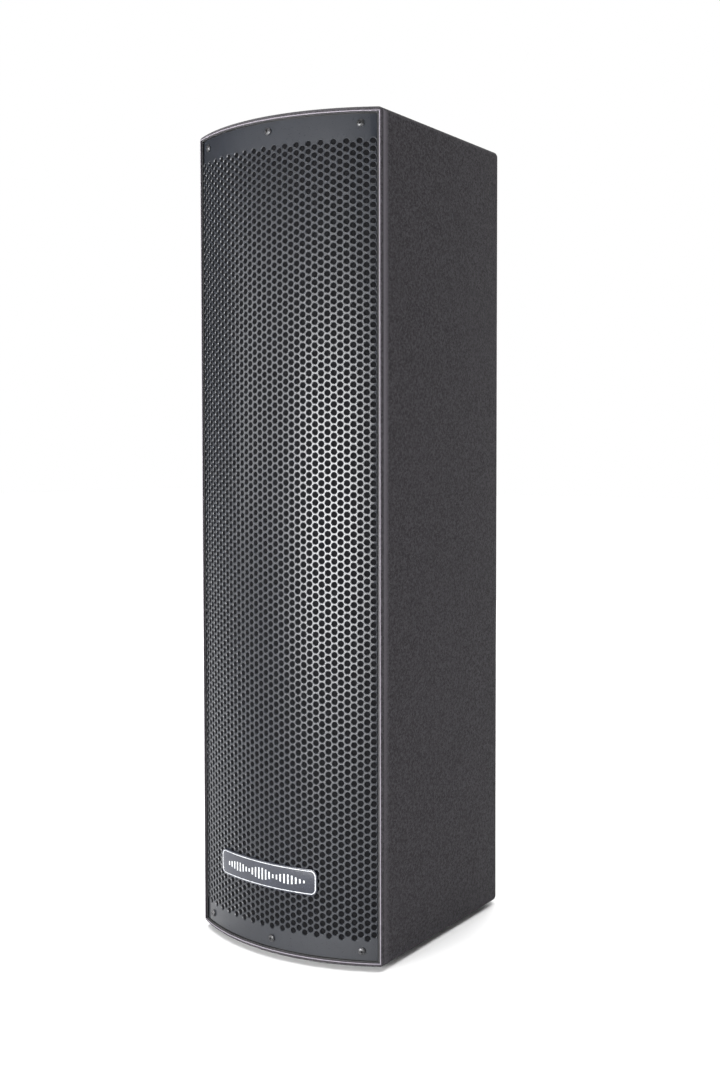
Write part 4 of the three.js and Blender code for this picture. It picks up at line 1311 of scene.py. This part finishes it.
def switch_forms():
    """Switch bezel and its rocker with two dished halves and the plain on and off signs."""
    low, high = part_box("switch_housing")
    centre, face = middle("switch_housing"), high.y
    w, h = high.x - low.x, high.z - low.z
    here = at(centre.x, face, centre.z)
    bezel = Form(here)
    outer = rounded_outline(w, h, 0.0014, 4)
    inner = [(x * (w - 0.0048) / w, y * (h - 0.0048) / h) for x, y in outer]
    box, floor = [(x * 0.86, y * 0.9) for x, y in outer], low.y - high.y
    bezel.frame(outer, inner, -0.002, 0.0)
    bezel.frame(box, inner, floor + 0.002, -0.0018)
    bezel.prism(box, floor, floor + 0.0022)
    bezel = bezel.make("switch_bezel", bevel=0.0003)
    pivot = Vector((centre.x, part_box("control_panel")[1].y - 0.003, centre.z))
    tilt = Matrix.Rotation(math.radians(8), 4, "X")
    dish = [(0.0067 * t, 0.005 + 0.0014 * abs(t) ** 1.6) for t in (-1 + 2 * i / 12 for i in range(13))]
    outline = dish + [(0.0067, 0.002), (0.003, -0.004), (-0.003, -0.004), (-0.0067, 0.002)]
    rocker = Form(Matrix.Translation(pivot) @ tilt @ FROM_BACK)
    rocker.loft([[(x, y, z) for y, z in outline] for x in (-0.0047, 0.0047)])
    rocker.block((-0.0003, 0.0028, 0.0052), (0.0003, 0.0052, 0.00615), look=TRIM)
    rocker.frame(circle(0.0011, 20), circle(0.0007, 20), 0.0052, 0.00605, (0, -0.004), look=TRIM)
    return bezel, rocker.make("rocker_cap", bevel=0.0003)


def heatsink_form():
    """Extruded fins with rounded tips on a base plate."""
    low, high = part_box("heatsink")
    fins, base, half = 15, 0.0035, (high.x - low.x) / 2
    pitch, tall = 0.0116, high.y - low.y
    outline = [(-half, 0.0), (half, 0.0), (half, base)]
    for i in reversed(range(fins)):
        x = (i - (fins - 1) / 2) * pitch
        side = [(0.0017, base), (0.0011, base + 0.0008), (0.00085, tall - 0.0006), (0.0004, tall)]
        outline += [(x + out, y) for out, y in side] + [(x - out, y) for out, y in reversed(side)]
    outline.append((-half, base))
    rings = [[(x, low.y + y, z) for x, y in outline] for z in (low.z, high.z)]
    return Form().loft(rings).make("heatsink_fins", bevel=0.0002, segments=1, smooth=25)


def handle_form():
    """Moulded carrying dish: rounded flange, sloping walls and a grip bar that swells into its ends."""
    low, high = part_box("carry_handle")
    centre = middle("carry_handle")
    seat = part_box("back_panel")[1].y + 0.0003
    here = at(centre.x, seat, centre.z)
    w, h = high.x - low.x, high.z - low.z
    deep = low.y - seat

    margin = 0.022  # the flange's width on both sides together, by which the dish is smaller
    form = Form(here)

    def ring(grow, radius, z):
        return form.ring([(x, y, z) for x, y in rounded_outline(w + grow, h + grow, radius, 8)])

    made = [ring(*each) for each in (
        (0.006 - margin, 0.012, 0.0), (-0.0012, 0.0095, 0.0), (0.0, 0.01, 0.0006), (0.0, 0.01, 0.0015),
        (-0.0016, 0.0095, 0.0025), (0.004 - margin, 0.012, 0.0025), (0.001 - margin, 0.0115, 0.0016),
        (-margin, 0.011, 0.0), (-0.002 - margin, 0.0105, deep + 0.008),
        (-0.006 - margin, 0.009, deep + 0.0042), (-0.014 - margin, 0.006, deep + 0.003),
    )]
    for lower, upper in zip(made, made[1:]):
        form.bridge(lower, upper, 0)
    form.bm.faces.new(made[-1])
    outer = [ring(0.006 - margin, 0.012, deep + 0.004), ring(0.002 - margin, 0.01, deep)]
    form.bridge(made[0], outer[0], 0)
    form.bridge(outer[0], outer[1], 0)
    form.bm.faces.new(outer[1])
    reach = (w - margin) / 2 + 0.0012
    grip = []
    for t in np.linspace(-1, 1, 25):
        wide, thick = 0.0098 * (1 + 0.45 * abs(t) ** 6), 0.0072 * (1 + 0.1 * abs(t) ** 6)
        grip.append([(reach * t, wide * x, -0.005 + thick * y) for x, y in circle(1.0, 28)])
    form.loft(grip)
    return form.make("handle_dish", smooth=45)


def pole_socket_form():
    """Cup for a speaker pole with its flange, and where the flange's screws go."""
    low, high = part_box("pole_socket")
    centre = middle("pole_socket")
    under = at(centre.x, centre.y, 0, FROM_BELOW)
    face, top = -low.z, -high.z
    flange, bore, wall = (high.x - low.x) / 2, 0.01775, 0.002
    seat = face - 0.0018
    profile = [(0.0, top), (bore, top), (bore + wall, top + 0.001), (bore + wall, seat), (flange, seat),
               (flange, face - 0.0006), (flange - 0.0006, face), (bore + 0.001, face), (bore, face - 0.001),
               (bore, top + wall), (0.0, top + wall)]
    cup = Form(under).lathe(profile, 72).make("pole_cup", smooth=40)
    return cup, under, circle(0.034, 4, turned_by=math.pi / 4), face


# ---------------------------------------------------------------- operators

class COLUMN_OT_stage(Operator):
    """Pale floor and room, soft panels of light and the camera"""
    bl_idname = "column.stage"
    bl_label = "Stage"

    def execute(self, context):
        scene, choices = context.scene, context.scene.column_stage
        scene.view_settings.view_transform = "Standard"
        world = scene.world or bpy.data.worlds.new("pale_room")
        scene.world = world
        world.use_nodes = True
        nodes = Nodes(world.node_tree)
        seen = nodes.place("ShaderNodeLightPath").outputs["Is Camera Ray"]
        strength = nodes.remap(seen, 0, 1, choices.surround, 1.0)
        background = nodes.place("ShaderNodeBackground", Color=(1, 1, 1, 1), Strength=strength)
        end = nodes.place("ShaderNodeOutputWorld")
        nodes.give(end.inputs["Surface"], background.outputs[0])

        material, nodes, sockets = new_material("floor", Roughness=0.9, Specular_IOR_Level=0.1)
        tint = nodes.noise(nodes.places(), 0.6, 2.0)
        nodes.give(sockets["Base Color"], nodes.mix(tint, rgba(choices.floor), shaded(choices.floor, 1.02)))
        floor = Form().block((-12, -12, -0.02), (12, 12, 0.0)).make("floor")
        floor.data.materials.append(material)

        self.softbox("front_panel", (-0.12, -2.3, 0.40), (0, -0.1, 0.40), 1.45, 0.75, choices.front_panel)
        self.softbox("left_panel", (-1.67, -1.86, 0.72), (0, -0.13, 0.55), 1.75, 0.8, choices.left_panel)
        self.softbox("side_panel", (2.6, -1.4, 0.9), (0.1, -0.05, 0.44), 0.8, 1.6, choices.side_panel)
        self.softbox("rear_panel", (-0.5, 2.6, 1.2), (0, 0.13, 0.44), 1.6, 1.6, choices.rear_panel)
        sky = bpy.data.lights.new("overhead", "SUN")
        sky.energy, sky.angle = choices.overhead, math.radians(50)
        context.scene.collection.objects.link(bpy.data.objects.new("overhead", sky))
        self.camera(scene)
        return {"FINISHED"}

    @staticmethod
    def softbox(name, place, target, width, tall, power):
        lamp = bpy.data.lights.new(name, "AREA")
        lamp.shape, lamp.size, lamp.size_y, lamp.energy = "RECTANGLE", width, tall, power
        obj = bpy.data.objects.new(name, lamp)
        obj.location = place
        obj.rotation_euler = (Vector(target) - Vector(place)).to_track_quat("-Z", "Y").to_euler()
        bpy.context.scene.collection.objects.link(obj)

    @staticmethod
    def camera(scene):
        """Chest height, right of the front, turned with the lens's axis ahead of the cabinet's side."""
        azimuth, elevation, roll = 0.54545, 0.03912, 0.00195
        back = Vector((
            math.sin(azimuth) * math.cos(elevation), -math.cos(azimuth) * math.cos(elevation), math.sin(elevation)
        ))
        level = Vector((math.cos(azimuth), math.sin(azimuth), 0))
        upright = back.cross(level)
        right = math.cos(roll) * level + math.sin(roll) * upright
        up = -math.sin(roll) * level + math.cos(roll) * upright
        lens = bpy.data.cameras.new("camera")
        lens.lens, lens.shift_x, lens.shift_y = 41.70, -0.1083, -0.0366
        lens.clip_start = 0.02
        obj = bpy.data.objects.new("camera", lens)
        turn = Matrix((right, up, back)).transposed().to_4x4()
        obj.matrix_world = Matrix.Translation((0.8598, -1.1311, 0.5345)) @ turn
        scene.collection.objects.link(obj)
        scene.camera = obj


class COLUMN_OT_carried(Operator):
    """Wooden panels, board and plate kept from the frame, with their own finishes"""
    bl_idname = "column.carried"
    bl_label = "Frame pieces"

    def execute(self, context):
        for name, node in frame["nodes"].items():
            node.data.materials.clear()
            node.data.materials.append(finish(FINISH_OF_NODE.get(name, SLOT_OF_NODE[name])))
        return {"FINISHED"}


class COLUMN_OT_covering(Operator):
    """Carpet glued over the cabinet and folded into the grille's rebate and the rear recess"""
    bl_idname = "column.covering"
    bl_label = "Carpet covering"

    def execute(self, context):
        shell = carpet_shell().make("carpet_wrap")
        clear_normals(shell)
        thicken(shell, sizes().carpet, smooth=42)
        centre = middle("pole_socket")
        hole = Form(at(centre.x, centre.y, 0, FROM_BELOW)).lathe(
            [(0.0, -0.02), (0.0205, -0.02), (0.0205, 0.01), (0.0, 0.01)], 48
        )
        cut(shell, hole, smooth=42)
        settle(shell, "cabinet", "carpet", replaces=["carpet_covering"])
        return {"FINISHED"}


class COLUMN_OT_grille(Operator):
    """Bowed perforated steel front and the cloth behind it"""
    bl_idname = "column.grille"
    bl_label = "Grille and cloth"

    def execute(self, context):
        settle(perforated_sheet(), "cabinet", "grille_coat", replaces=["grille_sheet"])
        cloth, flat = bowed_cloth()
        settle(cloth, "cabinet", "grille_cloth", replaces=["grille_cloth"])
        return {"FINISHED"}


class COLUMN_OT_badge(Operator):
    """Gloss plate on the grille with a raised line and level bars"""
    bl_idname = "column.badge"
    bl_label = "Badge"

    def execute(self, context):
        plate, trim = badge_pieces()
        settle(plate, "cabinet", "badge_gloss", replaces=["badge_plate"])
        settle(trim, "cabinet", "badge_gloss", "badge_silver")
        return {"FINISHED"}


class COLUMN_OT_grille_screws(Operator):
    """Six cross-recessed screws that hold the grille"""
    bl_idname = "column.grille_screws"
    bl_label = "Grille screws"

    def execute(self, context):
        bow = Bow()
        mesh = screw_mesh(0.0038, 0.0022, 0.014, 0.0016)
        for index, node in enumerate(SCREW_NODES):
            centre = middle(node)
            angle = math.atan2(centre.x, bow.centre_y - centre.y)
            seat = Matrix.Translation(bow.point(angle * bow.grille, centre.z, bow.grille + 0.0003))
            facing = seat @ Matrix.Rotation(angle, 4, "Z") @ FROM_FRONT @ Matrix.Rotation(0.5 * index, 4, "Z")
            screw = Form(facing).insert(mesh, Matrix.Identity(4)).make(node.replace("grille_screw", "panel_screw"))
            settle(screw, "cabinet", "black_steel", "screw_steel", replaces=[node])
        return {"FINISHED"}


class COLUMN_OT_drivers(Operator):
    """Four cone drivers on the baffle behind the cloth"""
    bl_idname = "column.drivers"
    bl_label = "Drivers"

    def execute(self, context):
        slots = {"basket": "pressed_steel", "cone": "cone_paper", "surround": "rubber", "magnet": "magnet_steel",
                 "screws": "black_steel"}
        pieces = driver_pieces()
        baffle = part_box("front_baffle")[0].y
        for driver in DRIVER_NAMES:
            place = at(0, baffle, middle(f"{driver}_driver_basket").z, FROM_FRONT)
            for kind, pattern in pieces.items():
                mesh = pattern.data.copy()
                mesh.transform(place)
                obj = bpy.data.objects.new(f"{driver}_{kind}", mesh)
                context.scene.collection.objects.link(obj)
                body = {"cone": f"{driver}_driver_cone", "surround": None}.get(kind, "cabinet")
                node = [] if kind == "screws" else [f"{driver}_driver_{kind}"]
                settle(obj, body, slots[kind], replaces=node)
                if kind == "surround":
                    inner, outer = (Vector((0, baffle - rise, 0)) for rise in (0.0041, 0.0046))
                    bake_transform(obj)
                    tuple(inner)
                    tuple(outer)
        for pattern in pieces.values():
            bpy.data.objects.remove(pattern)
        return {"FINISHED"}


class COLUMN_OT_horn(Operator):
    """Treble horn and the compression driver behind it"""
    bl_idname = "column.horn"
    bl_label = "Horn"

    def execute(self, context):
        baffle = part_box("front_baffle")[0].y
        horn = horn_form()
        horn.data.transform(at(0, baffle, middle("horn").z, FROM_FRONT))
        settle(horn, "cabinet", "black_plastic", replaces=["horn"])
        low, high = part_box("compression_driver")
        radius, deep = (high.x - low.x) / 2, high.y - low.y
        profile = [(0.0, 0.0), (radius - 0.0008, 0.0), (radius, 0.0008), (radius, 0.007)]
        for i in range(4):
            z = 0.0078 + 0.0034 * i
            profile += [(radius - 0.0012, z), (radius - 0.0012, z + 0.0014), (radius, z + 0.0022)]
        profile += [(radius, deep - 0.006), (radius - 0.002, deep - 0.003), (radius - 0.008, deep), (0.0, deep)]
        body = Form(at(0, low.y, middle("compression_driver").z)).lathe(profile, 72)
        settle(body.make("treble_driver", smooth=30), "cabinet", "magnet_steel", replaces=["compression_driver"])
        return {"FINISHED"}


class COLUMN_OT_underside(Operator):
    """Rubber feet and the cup for a speaker pole"""
    bl_idname = "column.underside"
    bl_label = "Feet and pole cup"

    def execute(self, context):
        for end in ("front", "rear"):
            for side in ("left", "right"):
                node = f"foot_{end}_{side}"
                centre, top = middle(node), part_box(node)[1].z
                profile = [(0.0, -0.0018), (0.0045, -0.0018), (0.005, -0.0014), (0.0052, 0.0), (0.0115, 0.0),
                           (0.0122, -0.0004), (0.0138, -top + 0.0004), (0.014, -top), (0.0, -top)]
                foot = Form(at(centre.x, centre.y, 0, FROM_BELOW)).lathe(profile[::-1], 48)
                settle(foot.make(f"rubber_{node}"), "cabinet", "rubber", replaces=[node])
        cup, under, places, face = pole_socket_form()
        settle(cup, "cabinet", "black_steel", replaces=["pole_socket"])
        screws = spots(Form(under), small_screw(), places, face).make("pole_cup_screws")
        settle(screws, "cabinet", "black_steel", "screw_steel")
        return {"FINISHED"}


class COLUMN_OT_handle(Operator):
    """Carrying dish in the back panel and the back panel's screws"""
    bl_idname = "column.handle"
    bl_label = "Handle and back screws"

    def execute(self, context):
        settle(handle_form(), "cabinet", "black_plastic", replaces=["carry_handle"])
        low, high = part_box("carry_handle")
        centre = middle("carry_handle")
        form = Form(at(centre.x, high.y, centre.z))
        reach = ((high.x - low.x) / 2 - 0.006, (high.z - low.z) / 2 - 0.0055)
        spots(form, small_screw(), [(sx * reach[0], sy * reach[1]) for sx in (-1, 1) for sy in (-1, 1)])
        settle(form.make("handle_screws"), "cabinet", "black_steel", "screw_steel")
        low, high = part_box("back_panel")
        form = Form(at(0, high.y, 0))
        x = high.x - 0.0065
        heights = np.linspace(low.z + 0.012, high.z - 0.012, 6)
        places = [(s * x, z) for z in heights for s in (-1, 1)] + [(0, low.z + 0.0085), (0, high.z - 0.0085)]
        spots(form, small_screw(), places)
        settle(form.make("back_panel_screws"), "cabinet", "black_steel", "screw_steel")
        return {"FINISHED"}


class COLUMN_OT_knobs(Operator):
    """Seven ridged control knobs"""
    bl_idname = "column.knobs"
    bl_label = "Knobs"

    def execute(self, context):
        for node in KNOB_NODES:
            centre, top = middle(node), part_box(node)[1].y
            knob = knob_form(node.replace("_knob", "_cap"))
            knob.data.transform(at(centre.x, top - 0.012, centre.z))
            settle(knob, node, "black_plastic", "black_plastic", "panel_ink", replaces=[node])
        return {"FINISHED"}


class COLUMN_OT_sockets(Operator):
    """Input sockets with their latches, speaker output, mains inlet and switch"""
    bl_idname = "column.sockets"
    bl_label = "Sockets and switch"

    def execute(self, context):
        for channel in CHANNELS:
            node, latch = f"{channel}_input_socket", f"{channel}_release_latch"
            settle(socket_form(f"{channel}_input", node), "cabinet", "black_plastic", replaces=[node])
            settle(latch_form(f"{channel}_latch", latch), latch, "latch_metal", replaces=[latch])
        settle(jack_form(), "cabinet", "black_plastic", replaces=["speaker_output_jack"])
        settle(inlet_form(), "cabinet", "black_plastic", "black_plastic", "contact_brass", replaces=["mains_inlet"])
        bezel, rocker = switch_forms()
        settle(bezel, "cabinet", "black_plastic", replaces=["switch_housing"])
        settle(rocker, "power_rocker", "black_plastic", "black_plastic", "panel_ink", replaces=["power_rocker"])
        return {"FINISHED"}


class COLUMN_OT_amplifier(Operator):
    """Panel print and screws, heatsink, and the transformer inside"""
    bl_idname = "column.amplifier"
    bl_label = "Amplifier"

    def execute(self, context):
        settle(panel_marks(), "cabinet", "black_steel", "panel_ink")
        low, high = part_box("control_panel")
        form = Form(at(0, high.y, 0))
        xs, zs = (-0.0905, 0.0905), np.linspace(low.z + 0.0045, high.z - 0.0045, 4)
        spots(form, small_screw(), [(x, z) for z in zs for x in xs])
        settle(form.make("panel_screws"), "cabinet", "black_steel", "screw_steel")
        settle(heatsink_form(), "cabinet", "heatsink_aluminium", replaces=["heatsink"])
        low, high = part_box("transformer")
        centre, deep = middle("transformer"), high.y - low.y
        tube = [
            (0.028 + 0.014 * math.copysign(abs(math.cos(t)) ** 0.6, math.cos(t)),
             deep / 2 + deep / 2 * math.copysign(abs(math.sin(t)) ** 0.6, math.sin(t)))
            for t in np.linspace(0, 2 * math.pi, 33)
        ]
        tube[-1] = tube[0]
        coil = Form(at(centre.x, low.y, centre.z)).lathe(tube, 72).make("transformer_coil", smooth=60)
        settle(coil, "cabinet", "winding", replaces=["transformer"])
        return {"FINISHED"}


class COLUMN_PT_panel(Panel):
    bl_idname = "COLUMN_PT_panel"
    bl_label = "Column loudspeaker"
    bl_space_type = "VIEW_3D"
    bl_region_type = "UI"
    bl_category = "Column"

    def draw(self, context):
        for group in (context.scene.column_sizes, context.scene.column_colours, context.scene.column_stage):
            box = self.layout.box()
            for name in group.__annotations__:
                box.prop(group, name)
        for operator in OPERATORS:
            self.layout.operator(operator.bl_idname)


OPERATORS = (
    COLUMN_OT_stage, COLUMN_OT_carried, COLUMN_OT_covering, COLUMN_OT_grille, COLUMN_OT_badge,
    COLUMN_OT_grille_screws, COLUMN_OT_drivers, COLUMN_OT_horn, COLUMN_OT_underside, COLUMN_OT_handle,
    COLUMN_OT_knobs, COLUMN_OT_sockets, COLUMN_OT_amplifier,
)
CLASSES = (ColumnSizes, ColumnColours, ColumnStage, *OPERATORS, COLUMN_PT_panel)


def register():
    for each in CLASSES:
        bpy.utils.register_class(each)
    bpy.types.Scene.column_sizes = PointerProperty(type=ColumnSizes)
    bpy.types.Scene.column_colours = PointerProperty(type=ColumnColours)
    bpy.types.Scene.column_stage = PointerProperty(type=ColumnStage)


def unregister():
    for name in ("column_sizes", "column_colours", "column_stage"):
        delattr(bpy.types.Scene, name)
    for each in reversed(CLASSES):
        bpy.utils.unregister_class(each)


def main():
    register()
    for operator in OPERATORS:
        group, name = operator.bl_idname.split(".")
        getattr(getattr(bpy.ops, group), name)()


if __name__ == "__main__":
    main()
